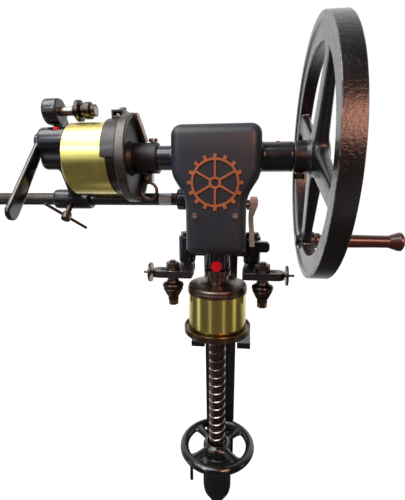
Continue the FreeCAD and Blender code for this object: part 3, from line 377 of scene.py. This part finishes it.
# Nodes that are drawn from their own meshes, by material
WEARS = {
    "casting": ("column", "bench_flange", "tool_block"),
    "wheel": ("crank_pin",),
    "gloss": ("lift_nut", "seam_lever_grip"),
    "guard": ("guard_segment",),
    "arm": ("left_arm", "right_arm"),
    "pit": ("trim_head",),
    "copper": ("emblem",),
    "red": ("oil_caps", "tail_oil_cap"),
    "head": ("cover_screws",),
    "bright_x": ("main_shaft", "lever_pivot_bolt", "lever_shaft", "tool_shaft", "tool_arm_pin"),
    "bright_y": ("column_bolts",),
    "bright_z": ("spindle", "trim_head_bolts", "thrust_washer"),
    "brown_x": ("tail_centre", "crown_gear", "left_adjuster", "right_adjuster"),
    "brown_z": ("seaming_chuck", "spindle_collar", "lifter_plate", "spindle_pinion", "tail_clamp_screw",
                "screw_lock", "left_roller_bolt", "right_roller_bolt", "arm_pivot_pins", "flywheel_set_bolt",
                "stay_plate", "trip_loop"),
    "roller_x": ("drive_disc", "tool_roller"),
    "roller_z": ("left_roller", "right_roller"),
    "bar": ("side_bar",),
    "bronze_x": ("shaft_bushes",),
    "bronze_z": ("spindle_bush",),
    "gold_x": ("side_can",),
    "gold_z": ("lower_can",),
    "wood": ("crank_grip",),
}

# Edges sharper than these angles stay sharp, on the nodes' meshes and on the new pieces
NODE_SHARP = math.radians(30)
PIECE_SHARP = math.radians(35)
for key, names in WEARS.items():
    for name in names:
        mesh = nodes[name].data
        mesh.materials.clear()
        mesh.materials.append(MATERIALS[key])
        mesh.shade_smooth()
        mesh.set_sharp_from_angle(angle=NODE_SHARP)


def place_piece(name, body, mesh, material, replaced=()):
    """A mesh made a piece with its material that rides on a body, hiding the nodes it stands for."""
    mesh.materials.append(material)
    piece = bpy.data.objects.new(name, mesh)
    scene.collection.objects.link(piece)
    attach(piece, body)
    if replaced:
        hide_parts(*replaced)


def new_piece(name, body, build, material, replaced=()):
    """A piece whose mesh is built in the row frame."""
    work = bmesh.new()
    build(work)
    bmesh.ops.recalc_face_normals(work, faces=work.faces[:])
    mesh = bpy.data.meshes.new(name)
    work.to_mesh(mesh)
    work.free()
    mesh.shade_smooth()
    mesh.set_sharp_from_angle(angle=PIECE_SHARP)
    place_piece(name, body, mesh, material, replaced)


def cast_piece(node, body, material, cell, rounds):
    """A casting drawn from its solid: inner corners filled and edges rounded as in a mould."""
    pattern = nodes[node].data.copy()
    rough = bpy.data.objects.new(node + "_pattern", pattern)
    scene.collection.objects.link(rough)
    remesh = rough.modifiers.new("Cells", "REMESH")
    remesh.mode = "VOXEL"
    remesh.voxel_size = cell
    smooth = rough.modifiers.new("Rounding", "SMOOTH")
    smooth.factor = 0.5
    smooth.iterations = rounds
    graph = bpy.context.evaluated_depsgraph_get()
    mesh = bpy.data.meshes.new_from_object(rough.evaluated_get(graph))
    bpy.data.objects.remove(rough)
    bpy.data.meshes.remove(pattern)
    mesh.name = node + "_casting"
    mesh.materials.clear()
    mesh.shade_smooth()
    place_piece(node + "_casting", body, mesh, material, [node])


# Turns that bring the Z axis onto the axis of a turned shape
AXIS_TURNS = {"x": Matrix.Rotation(math.radians(90), 4, "Y"), "z": Matrix.Identity(4)}

# Step beside each corner of an outline, and how many steps long a side must be to get it
CORNER_STEP = 0.4
LONG_SIDE = 4


def banded(outline):
    """The outline with a short step beside each corner, which keeps long faces flat when shaded smooth."""
    points = [outline[0]]
    for first, last in zip(outline, outline[1:]):
        length = math.dist(first, last)
        if length > LONG_SIDE * CORNER_STEP:
            for share in (CORNER_STEP / length, 1 - CORNER_STEP / length):
                points.append(tuple(a + (b - a) * share for a, b in zip(first, last)))
        points.append(last)
    return points


def spin(work, axis, origin, outline, segments=96):
    """Turn an outline of (along, radius) about an axis through a point."""
    place = Matrix.Translation(origin) @ AXIS_TURNS[axis]
    rings = []
    for along, radius in banded(outline):
        if radius == 0:
            rings.append([work.verts.new(place @ Vector((0, 0, along / PER_METRE)))])
            continue
        ring = []
        for step in range(segments):
            angle = 2 * math.pi * step / segments
            point = Vector((radius * math.cos(angle), radius * math.sin(angle), along)) / PER_METRE
            ring.append(work.verts.new(place @ point))
        rings.append(ring)
    for low, high in zip(rings, rings[1:]):
        for step in range(segments):
            after = (step + 1) % segments
            corners = ((low, step), (low, after), (high, after), (high, step))
            unique = list(dict.fromkeys(ring[i % len(ring)] for ring, i in corners))
            if len(unique) > 2:
                work.faces.new(unique)


def loft(work, rings):
    """Join closed rings of the same count one to the next, and close both ends."""
    for ring, following in zip(rings, rings[1:]):
        for i in range(len(ring)):
            after = (i + 1) % len(ring)
            work.faces.new((ring[i], ring[after], following[after], following[i]))
    work.faces.new(rings[0])
    work.faces.new(rings[-1])


def cut_level(work, height, up, **settings):
    """Cut the mesh along a level plane at a height from the axes."""
    everything = work.verts[:] + work.edges[:] + work.faces[:]
    place = from_axes(0, 0, height)
    return bmesh.ops.bisect_plane(work, geom=everything, plane_co=place, plane_no=(0, 0, up), **settings)


# Lifting screw: heights from the axes, radii of the thread and its outline as (share of a pitch, radius)
SCREW_FOOT = -652.0
SCREW_TOP = -301.0
THREAD_LOW = SCREW_FOOT + 16
THREAD_HIGH = SCREW_TOP - 6
THREAD_PITCH = 16.0
THREAD_CREST = 15.0
THREAD_EDGE = 13.6
THREAD_ROOT = 11.6
THREAD_SHAPE = ((0.0, THREAD_CREST), (0.62, THREAD_CREST), (0.70, THREAD_EDGE), (0.74, THREAD_ROOT),
                (0.96, THREAD_ROOT), (1.0, THREAD_CREST))
THREAD_STEPS = 64
FOOT_RADIUS = 13.5
FOOT_CHAMFER = 2
PIVOT_RADIUS = 8
PIVOT_LENGTH = 13

# The thread is wound from below its low end to above its high end, in turns, and then cut to length
TURNS_BELOW = 1.5
TURNS_SPARE = 3

# Ends and thread reach into each other by this much, and points closer than the gap in metres are one
OVERLAP = 1
WELD_GAP = 1e-6


def thread_screw(work):
    """The lifting screw: a square right-hand thread between a plain foot and a pivot."""
    turns = int((THREAD_HIGH - THREAD_LOW) / THREAD_PITCH) + TURNS_SPARE
    rows = []
    for step in range(turns * THREAD_STEPS + 1):
        angle = 2 * math.pi * step / THREAD_STEPS
        row = []
        for share, radius in THREAD_SHAPE:
            height = THREAD_LOW + THREAD_PITCH * (step / THREAD_STEPS + share - TURNS_BELOW)
            row.append(work.verts.new(from_axes(radius * math.cos(angle), radius * math.sin(angle), height)))
        rows.append(row)
    for row, following in zip(rows, rows[1:]):
        for i in range(len(THREAD_SHAPE) - 1):
            work.faces.new((row[i], row[i + 1], following[i + 1], following[i]))
    bmesh.ops.remove_doubles(work, verts=work.verts[:], dist=WELD_GAP)
    for height, up in ((THREAD_LOW, -1), (THREAD_HIGH, 1)):
        cut = cut_level(work, height, up, clear_outer=True)
        edges = [item for item in cut["geom_cut"] if isinstance(item, bmesh.types.BMEdge)]
        bmesh.ops.holes_fill(work, edges=edges)
    spin(work, "z", MEETING, [
        (SCREW_FOOT, 0),
        (SCREW_FOOT, FOOT_RADIUS - FOOT_CHAMFER),
        (SCREW_FOOT + FOOT_CHAMFER, FOOT_RADIUS),
        (THREAD_LOW - FOOT_CHAMFER, FOOT_RADIUS),
        (THREAD_LOW, THREAD_CREST),
        (THREAD_LOW + OVERLAP, THREAD_CREST),
        (THREAD_LOW + OVERLAP, 0),
    ])
    spin(work, "z", MEETING, [
        (THREAD_HIGH - OVERLAP, 0),
        (THREAD_HIGH - OVERLAP, THREAD_CREST),
        (SCREW_TOP, THREAD_CREST),
        (SCREW_TOP, PIVOT_RADIUS),
        (SCREW_TOP + PIVOT_LENGTH, PIVOT_RADIUS),
        (SCREW_TOP + PIVOT_LENGTH, 0),
    ])


# Spokes of both wheels
SPOKE_STEPS = 24
SPOKE_SIDES = 28


def flared_spoke(work, middle, outward, sideways, span, sizes, roundness):
    """A spoke from hub to rim; sizes gives its half width and half thickness at a share of the way.

    A roundness of 1 makes its section an ellipse, and less makes it squarer.
    """
    normal = outward.cross(sideways)
    rings = []
    for step in range(SPOKE_STEPS + 1):
        share = step / SPOKE_STEPS
        distance = span[0] + (span[1] - span[0]) * share
        half_width, half_thickness = sizes(share)
        ring = []
        for side in range(SPOKE_SIDES):
            angle = 2 * math.pi * side / SPOKE_SIDES
            across = math.copysign(abs(math.cos(angle)) ** roundness, math.cos(angle))
            through = math.copysign(abs(math.sin(angle)) ** roundness, math.sin(angle))
            point = outward * distance + sideways * half_width * across + normal * half_thickness * through
            ring.append(work.verts.new(middle + point / PER_METRE))
        rings.append(ring)
    loft(work, rings)


def four_spokes(work, axis, middle, turn, span, sizes, roundness):
    """Four spokes about an axis, the first at a turn in degrees."""
    for quarter in range(4):
        angle = math.radians(turn + 90 * quarter)
        flat = ((math.cos(angle), math.sin(angle)), (-math.sin(angle), math.cos(angle)))
        outward, sideways = [Vector((0, *pair) if axis == "x" else (*pair, 0)) for pair in flat]
        flared_spoke(work, middle, outward, sideways, span, sizes, roundness)


# Handwheel: ring of round section, domed hub as (height, radius), and spokes
HANDWHEEL_Z = -530.0
HANDWHEEL_RING = 62.0
HANDWHEEL_TUBE = 7.9
HANDWHEEL_TUBE_STEPS = 20
HANDWHEEL_HUB = ((-14.7, 15.4), (-14.7, 22), (-7, 22), (-5, 26), (2, 26), (6, 23.5), (9, 18), (9, 15.4),
                 (-14.7, 15.4))
HANDWHEEL_SPAN = (18.0, 58.0)
HANDWHEEL_TURN = 45
HANDWHEEL_WAIST = 7.8
HANDWHEEL_FLARE = 9.5
HANDWHEEL_HALF_THICKNESS = 5.4


def handwheel_spoke(share):
    """Half width and half thickness: narrowest half way out, flared into hub and rim."""
    return HANDWHEEL_WAIST + HANDWHEEL_FLARE * (2 * share - 1) ** 4, HANDWHEEL_HALF_THICKNESS


def round_handwheel(work):
    """Ring of round section, domed hub and four flared spokes."""
    ring = []
    for step in range(HANDWHEEL_TUBE_STEPS + 1):
        angle = 2 * math.pi * step / HANDWHEEL_TUBE_STEPS
        ring.append((HANDWHEEL_TUBE * math.sin(angle), HANDWHEEL_RING + HANDWHEEL_TUBE * math.cos(angle)))
    middle = from_axes(0, 0, HANDWHEEL_Z)
    spin(work, "z", middle, ring)
    spin(work, "z", middle, HANDWHEEL_HUB)
    four_spokes(work, "z", middle, HANDWHEEL_TURN, HANDWHEEL_SPAN, handwheel_spoke, roundness=1.0)


# Flywheel: a rim with a raised lip on both faces, a hub, four broad spokes and the boss of the crank pin
WHEEL_LEFT = 140.0
WHEEL_WIDTH = 26.5
WHEEL_RADIUS = 187.5
WHEEL_TURN = -66.0
RIM_INNER = 152.5
RIM_LIP = 9.0
RIM_STEP = 2.5
RIM_ROUND = 2
RIM_ROUND_MIDDLE = 0.6
TREAD_CHAMFER = 0.3
HUB_LEFT = 116.5
HUB_LENGTH = 51.5
HUB_RADIUS = 24.0
HUB_CHAMFER = 1
SHAFT_RADIUS = 12.0
CRANK_RADIUS = 157.0
CRANK_BOSS = 16.0
BOSS_LENGTH = 28
BOSS_CHAMFER = 1.5

# The lip's slope as (depth from the face, distance from the lip), and the hub's belt as (along, added radius)
LIP_SLOPE = ((RIM_STEP, -RIM_STEP), (RIM_STEP - 0.5, -1.2), (0.3, -0.2), (0, 0.8))
HUB_BELT = ((18, 0), (24, 2), (28, 5), (46, 5), (49, 3))

# Half sizes of a spoke: at its root, how much it thins, and its flares at root and tip
SPOKE_WIDTH = (21, 6, 7, 8)
SPOKE_THICKNESS = (11, 4.5, 3, 3.5)
SPOKE_SPAN = (18.0, RIM_INNER + 4)

# The flares take up this share of the spoke at each end; the tip's flare starts at its share of the way
FLARE_LENGTH = 0.18
TIP_FLARE = 0.82


def flywheel_spoke(share):
    """Half width and half thickness of a spoke that thins outwards and flares at both ends."""
    root = max(0.0, 1 - share / FLARE_LENGTH) ** 2
    tip = max(0.0, (share - TIP_FLARE) / FLARE_LENGTH) ** 2
    sizes = []
    for start, taper, root_flare, tip_flare in (SPOKE_WIDTH, SPOKE_THICKNESS):
        sizes.append(start - taper * share + root_flare * root + tip_flare * tip)
    return sizes


def rim_outline():
    """Outline of the rim, from the inner corner along the left face, round the tread and back."""
    left = [
        (RIM_STEP + RIM_ROUND, RIM_INNER),
        (RIM_STEP + RIM_ROUND_MIDDLE, RIM_INNER + RIM_ROUND_MIDDLE),
        (RIM_STEP, RIM_INNER + RIM_ROUND),
    ]
    left += [(depth, WHEEL_RADIUS - RIM_LIP + distance) for depth, distance in LIP_SLOPE]
    left += [(0, WHEEL_RADIUS - TREAD_CHAMFER), (TREAD_CHAMFER, WHEEL_RADIUS)]
    right = [(WHEEL_WIDTH - along, radius) for along, radius in reversed(left)]
    return left + right + left[:1]


def crisp_flywheel(work):
    """Rim, hub, spokes and the boss that holds the crank pin."""
    spin(work, "x", from_axes(WHEEL_LEFT, 0, 0), rim_outline(), segments=160)
    hub = [(0, SHAFT_RADIUS), (0, HUB_RADIUS - HUB_CHAMFER), (HUB_CHAMFER, HUB_RADIUS)]
    hub += [(along, HUB_RADIUS + added) for along, added in HUB_BELT]
    hub += [(HUB_LENGTH - HUB_CHAMFER, HUB_RADIUS), (HUB_LENGTH, HUB_RADIUS - HUB_CHAMFER)]
    hub += [(HUB_LENGTH, SHAFT_RADIUS), (0, SHAFT_RADIUS)]
    spin(work, "x", from_axes(HUB_LEFT, 0, 0), hub)
    middle = from_axes(WHEEL_LEFT + WHEEL_WIDTH / 2, 0, 0)
    four_spokes(work, "x", middle, WHEEL_TURN, SPOKE_SPAN, flywheel_spoke, roundness=0.45)
    angle = math.radians(WHEEL_TURN)
    boss = from_axes(WHEEL_LEFT, CRANK_RADIUS * math.cos(angle), CRANK_RADIUS * math.sin(angle))
    spin(work, "x", boss, [
        (0, 0),
        (0, CRANK_BOSS - BOSS_CHAMFER),
        (BOSS_CHAMFER, CRANK_BOSS),
        (BOSS_LENGTH - BOSS_CHAMFER, CRANK_BOSS),
        (BOSS_LENGTH, CRANK_BOSS - BOSS_CHAMFER),
        (BOSS_LENGTH, 0),
    ], segments=48)


# Seaming lever: the eye on its pivot bolt, a web, and a bent strip as (x, y, z, half width)
LEVER_LEFT = 52.0
LEVER_Y = 5.0
LEVER_Z = -75.0
EYE_BORE = 5.1
EYE_RADIUS = 10
EYE_WIDTH = 5
STRIP_PATH = (
    (57.5, -9.0, -61.0, 5.0),
    (58.5, -10.0, -66.0, 6.5),
    (58.5, -10.0, -74.0, 6.5),
    (56.0, -8.5, -84.0, 5.5),
    (54.0, -6.5, -94.0, 4.0),
    (54.5, -5.5, -104.0, 4.0),
    (56.0, -4.8, -120.0, 4.2),
    (57.0, -4.2, -143.0, 4.2),
)
STRIP_THICKNESS = 2.4
WEB_SIDES = (LEVER_LEFT + 0.5, LEVER_LEFT + 4)
WEB_CORNERS = ((-8.5, -66.0), (3.0, -66.5), (3.0, -83.0), (-7.5, -80.0))


def bent_lever(work):
    """A flat strip bent forward over the pivot and down to the grip."""
    spin(work, "x", from_axes(LEVER_LEFT, LEVER_Y, LEVER_Z), [
        (0, EYE_BORE),
        (0, EYE_RADIUS),
        (EYE_WIDTH, EYE_RADIUS),
        (EYE_WIDTH, EYE_BORE),
        (0, EYE_BORE),
    ], segments=48)
    rings = []
    for x, y, z, half in STRIP_PATH:
        back = y + STRIP_THICKNESS
        corners = ((x - half, y), (x + half, y), (x + half, back), (x - half, back))
        rings.append([work.verts.new(from_axes(across, depth, z)) for across, depth in corners])
    loft(work, rings)
    loft(work, [[work.verts.new(from_axes(x, y, z)) for y, z in WEB_CORNERS] for x in WEB_SIDES])


# Bright stretch of the side bar: how far it reaches along the bar, into it and out of it
BAR_PLACE = from_axes(0, 45.0, -69.0)
BAR_RADIUS = 11.0
BARE_START = -107.0
BARE_END = -85.0
BARE_FOOT = BAR_RADIUS - 0.5
BARE_TOP = BAR_RADIUS + 0.15
BARE_TAPER = 0.4


def bare_stretch(work):
    """The stretch of the side bar that is rubbed bright."""
    spin(work, "x", BAR_PLACE, [
        (BARE_START, BARE_FOOT),
        (BARE_START, BAR_RADIUS),
        (BARE_START + BARE_TAPER, BARE_TOP),
        (BARE_END - BARE_TAPER, BARE_TOP),
        (BARE_END, BAR_RADIUS),
        (BARE_END, BARE_FOOT),
        (BARE_START, BARE_FOOT),
    ], segments=64)


# Front cover: the outline of the head, with a broad round edge and a front that leans back at the top
COVER_FRONT = -50.0
COVER_PARTING = -26.0
COVER_EDGE = 15.0
COVER_EDGE_STEPS = 14
COVER_WALL = 8.0
HEAD_TOP = 47.0
HEAD_BOTTOM = -149.0
HEAD_HALF = 67.5
WAIST_HALF = 46.5
SHOULDER = Vector((HEAD_HALF, -27.0))
WAIST = Vector((WAIST_HALF, -60.0))
CORNER_ROUNDS = (16.0, 40.0, 55.0, 11.0)
SMALLEST_ROUND = 2.0
CORNER_STEPS = 10
CROWN = 6.0
CROWN_FOOT = 4.0
CROWN_LEVELS = 14


def head_corners(inset):
    """Right half of the head's outline, each side moved inwards."""
    slope = (WAIST - SHOULDER).normalized()
    outward = Vector((-slope.y, slope.x))
    reach = SHOULDER.dot(outward) - inset
    corners = [Vector((HEAD_HALF - inset, HEAD_TOP - inset))]
    for half in (HEAD_HALF - inset, WAIST_HALF - inset):
        corners.append(Vector((half, (reach - half * outward.x) / outward.y)))
    corners.append(Vector((WAIST_HALF - inset, HEAD_BOTTOM + inset)))
    return corners


def rounded_corner(before, corner, after, radius):
    """Points of the arc that rounds one corner of an outline."""
    first = (before - corner).normalized()
    last = (after - corner).normalized()
    half_angle = first.angle(last) / 2
    reach = radius / math.tan(half_angle)
    middle = corner + (first + last).normalized() * (radius / math.sin(half_angle))
    start = corner + first * reach - middle
    end = corner + last * reach - middle
    sweep = math.pi - 2 * half_angle
    points = []
    for step in range(CORNER_STEPS + 1):
        share = step / CORNER_STEPS
        weights = (math.sin((1 - share) * sweep), math.sin(share * sweep))
        points.append(middle + (start * weights[0] + end * weights[1]) / math.sin(sweep))
    return points


def head_ring(work, inset, depth):
    """One closed ring of the head's rounded outline at a depth."""
    right = head_corners(inset)
    left = [Vector((-corner.x, corner.y)) for corner in reversed(right)]
    corners = right + left
    bends = (-inset, -inset, inset, -inset)
    radii = [max(radius + bend, SMALLEST_ROUND) for radius, bend in zip(CORNER_ROUNDS, bends)]
    radii += reversed(radii)
    ring = []
    for i, (corner, radius) in enumerate(zip(corners, radii)):
        following = corners[(i + 1) % len(corners)]
        for point in rounded_corner(corners[i - 1], corner, following, radius):
            ring.append(work.verts.new(from_axes(point.x, depth, point.y)))
    return ring


def crown_cover(work):
    """Lean the front back towards the top in a gentle curve."""
    rise = HEAD_TOP - CROWN_FOOT
    for level in range(CROWN_LEVELS):
        cut_level(work, CROWN_FOOT + rise * level / CROWN_LEVELS, 1)
    parting = from_axes(0, COVER_PARTING, 0).y
    front = from_axes(0, COVER_FRONT, 0).y
    foot = from_axes(0, 0, CROWN_FOOT).z
    for corner in work.verts:
        above = max(0.0, (corner.co.z - foot) / (rise / PER_METRE))
        corner.co.y += CROWN / PER_METRE * above ** 2 * (parting - corner.co.y) / (parting - front)


def round_cover(work):
    """A hollow cover that closes the head at the front."""
    levels = [(COVER_WALL, COVER_FRONT + COVER_WALL), (COVER_WALL, COVER_PARTING), (0.0, COVER_PARTING)]
    for step in range(COVER_EDGE_STEPS + 1):
        angle = math.pi / 2 * step / COVER_EDGE_STEPS
        levels.append((COVER_EDGE * (1 - math.cos(angle)), COVER_FRONT + COVER_EDGE * (1 - math.sin(angle))))
    loft(work, [head_ring(work, inset, depth) for inset, depth in levels])
    crown_cover(work)


# Castings drawn from their nodes: node, body, material, cell in metres and rounds of smoothing
CASTINGS = (
    ("gear_housing", "frame", "casting", 0.002, 8),
    ("tailstock", "tailstock", "casting", 0.002, 8),
    ("tool_arm", "tool_arm", "casting", 0.002, 8),
    ("screw_bracket", "frame", "casting", 0.002, 8),
    ("tail_lever", "tail_lever", "gloss", 0.0014, 6),
)
for node, body, material, cell, rounds in CASTINGS:
    cast_piece(node, body, MATERIALS[material], cell, rounds)

# Pieces that stand for a node: name, body, shape, material and node
MODELLED = (
    ("cover_casting", "frame", round_cover, "cover", "front_cover"),
    ("flywheel_casting", "crank", crisp_flywheel, "wheel", "flywheel"),
    ("handwheel_casting", "handwheel", round_handwheel, "gloss", "handwheel"),
    ("lift_screw_thread", "lift", thread_screw, "screw", "lift_screw"),
    ("seam_lever_strip", "seam_lever", bent_lever, "dull", "seam_lever"),
)
for name, body, build, material, node in MODELLED:
    new_piece(name, body, build, MATERIALS[material], [node])
new_piece("bar_bare_stretch", "frame", bare_stretch, MATERIALS["dull"])


# Studio: pale floor, white wall, soft lights and the camera of the photograph, in metres
FLOOR_HALF = 30.0
FLOOR_GAP = 0.002
FLOOR_GLOW = 0.9
FLOOR_ROUGHNESS = 0.9

# Greys of the floor to other rays and to the camera, and the Y where its mirror image starts and is full
FLOOR_GREYS = (0.05, 0.35)
FLOOR_BEHIND = (0.1, 0.9)


def make_floor():
    """A floor that is bright to the camera, and in mirror images only behind the machine."""
    level = packed_bounds[0][2] - FLOOR_GAP
    signs = ((-1, -1), (1, -1), (1, 1), (-1, 1))
    mesh = bpy.data.meshes.new("floor")
    mesh.from_pydata([(x * FLOOR_HALF, y * FLOOR_HALF, level) for x, y in signs], [], [(0, 1, 2, 3)])
    floor = bpy.data.objects.new("floor", mesh)
    scene.collection.objects.link(floor)
    shader = Shader("pale_floor")
    path = shader.add("ShaderNodeLightPath")
    seen = path.outputs["Is Camera Ray"]
    behind = shader.spread(shader.depth(shader.position), 0.0, 1.0, band=FLOOR_BEHIND)
    mirrored = shader.product(path.outputs["Is Glossy Ray"], behind)
    glow = shader.calculate("ShaderNodeMath", "MULTIPLY_ADD", seen, FLOOR_GLOW, mirrored)
    shader.set(Base_Color=shader.spread(seen, *FLOOR_GREYS, band=(0.0, 1.0)), Roughness=FLOOR_ROUGHNESS)
    shader.set(Emission_Color=WHITE, Emission_Strength=glow.outputs["Value"])
    mesh.materials.append(shader.material)


# Strength of the room in front and of the wall behind, and the Y parts of a direction it changes between
ROOM_LIGHT = 0.03
WALL_LIGHT = 0.95
ROOM_Y = -0.15
WALL_Y = 0.65


def make_world():
    """A white studio wall behind the machine and a dark room in front of it; the camera sees only white."""
    world = bpy.data.worlds.new("studio")
    graph = Graph(world)
    direction = graph.add("ShaderNodeTexCoord").outputs["Generated"]
    wall = graph.add("ShaderNodeMapRange")
    graph.fill(wall, Value=graph.depth(direction), From_Min=ROOM_Y, From_Max=WALL_Y)
    graph.fill(wall, To_Min=ROOM_LIGHT, To_Max=WALL_LIGHT)
    seen = graph.add("ShaderNodeLightPath").outputs["Is Camera Ray"]
    strength = graph.mix(seen, wall.outputs["Result"], 1.0, kind="FLOAT")
    graph.fill(graph.tree.nodes["Background"], Color=WHITE, Strength=strength)
    scene.world = world


def make_light(name, place, target, size, power, colour):
    """A rectangular light that looks at a point and is hidden from the camera."""
    lamp = bpy.data.lights.new(name, "AREA")
    lamp.shape = "RECTANGLE"
    lamp.size, lamp.size_y = size
    lamp.energy = power
    lamp.color = colour
    holder = bpy.data.objects.new(name, lamp)
    holder.visible_camera = False
    holder.location = place
    holder.rotation_euler = (Vector(target) - Vector(place)).to_track_quat("-Z", "Y").to_euler()
    scene.collection.objects.link(holder)


CAMERA_PLACE = Vector((0.0463, -0.725, 0.3502))
CAMERA_YAW = -7.14
CAMERA_PITCH = 12.31
CAMERA_ROLL = -0.39
SENSOR = 36.0
FOCAL_SHARE = 0.7
NEAREST = 0.01


def make_camera():
    """The camera of the photograph; its angles are in degrees."""
    camera = bpy.data.cameras.new("camera")
    camera.sensor_fit = "VERTICAL"
    camera.sensor_height = SENSOR
    camera.lens = SENSOR * FOCAL_SHARE
    camera.clip_start = NEAREST
    holder = bpy.data.objects.new("camera", camera)
    yaw = Matrix.Rotation(math.radians(-CAMERA_YAW), 4, "Z")
    pitch = Matrix.Rotation(math.radians(90 - CAMERA_PITCH), 4, "X")
    roll = Matrix.Rotation(math.radians(CAMERA_ROLL), 4, "Z")
    holder.matrix_world = Matrix.Translation(CAMERA_PLACE) @ yaw @ pitch @ roll
    scene.collection.objects.link(holder)
    scene.camera = holder


# Each light: name, place, point it looks at, width and height, power and colour
AIM = (0.0, SPINDLE_Y, 0.22)
CAN_AIM = (0.0, SPINDLE_Y, 0.12)
HEAD_AIM = (-0.2, SPINDLE_Y, 0.4)
LIGHTS = (
    ("left_soft_light", (-1.0, -1.25, 1.0), AIM, (1.3, 1.5), 6.5, (0.86, 0.94, 1.0)),
    ("warm_light", (0.80, -1.7, 1.05), AIM, (0.7, 0.8), 20, (1.0, 0.46, 0.32)),
    ("top_light", (-0.6, -0.7, 1.7), AIM, (1.6, 0.9), 24, WHITE),
    ("left_key_light", (-0.75, -1.2, 1.0), AIM, (0.25, 0.25), 2.5, (0.95, 0.98, 1.0)),
    ("under_light", (-0.25, -0.12, -0.25), HEAD_AIM, (0.35, 0.3), 0.15, (1.0, 0.97, 0.9)),
    ("left_strip", (-0.72, -0.38, 0.0), CAN_AIM, (0.14, 0.5), 0.22, WHITE),
    ("left_inner_strip", (-0.28, -0.80, -0.05), CAN_AIM, (0.06, 0.45), 0.06, (1.0, 0.95, 0.9)),
    ("right_inner_strip", (0.34, -0.78, -0.05), CAN_AIM, (0.05, 0.45), 0.06, (1.0, 0.95, 0.9)),
    ("right_strip", (0.72, -0.38, 0.0), CAN_AIM, (0.14, 0.5), 0.16, (1.0, 0.9, 0.8)),
)
make_floor()
make_world()
for settings in LIGHTS:
    make_light(*settings)
make_camera()
scene.view_settings.view_transform = "Standard"
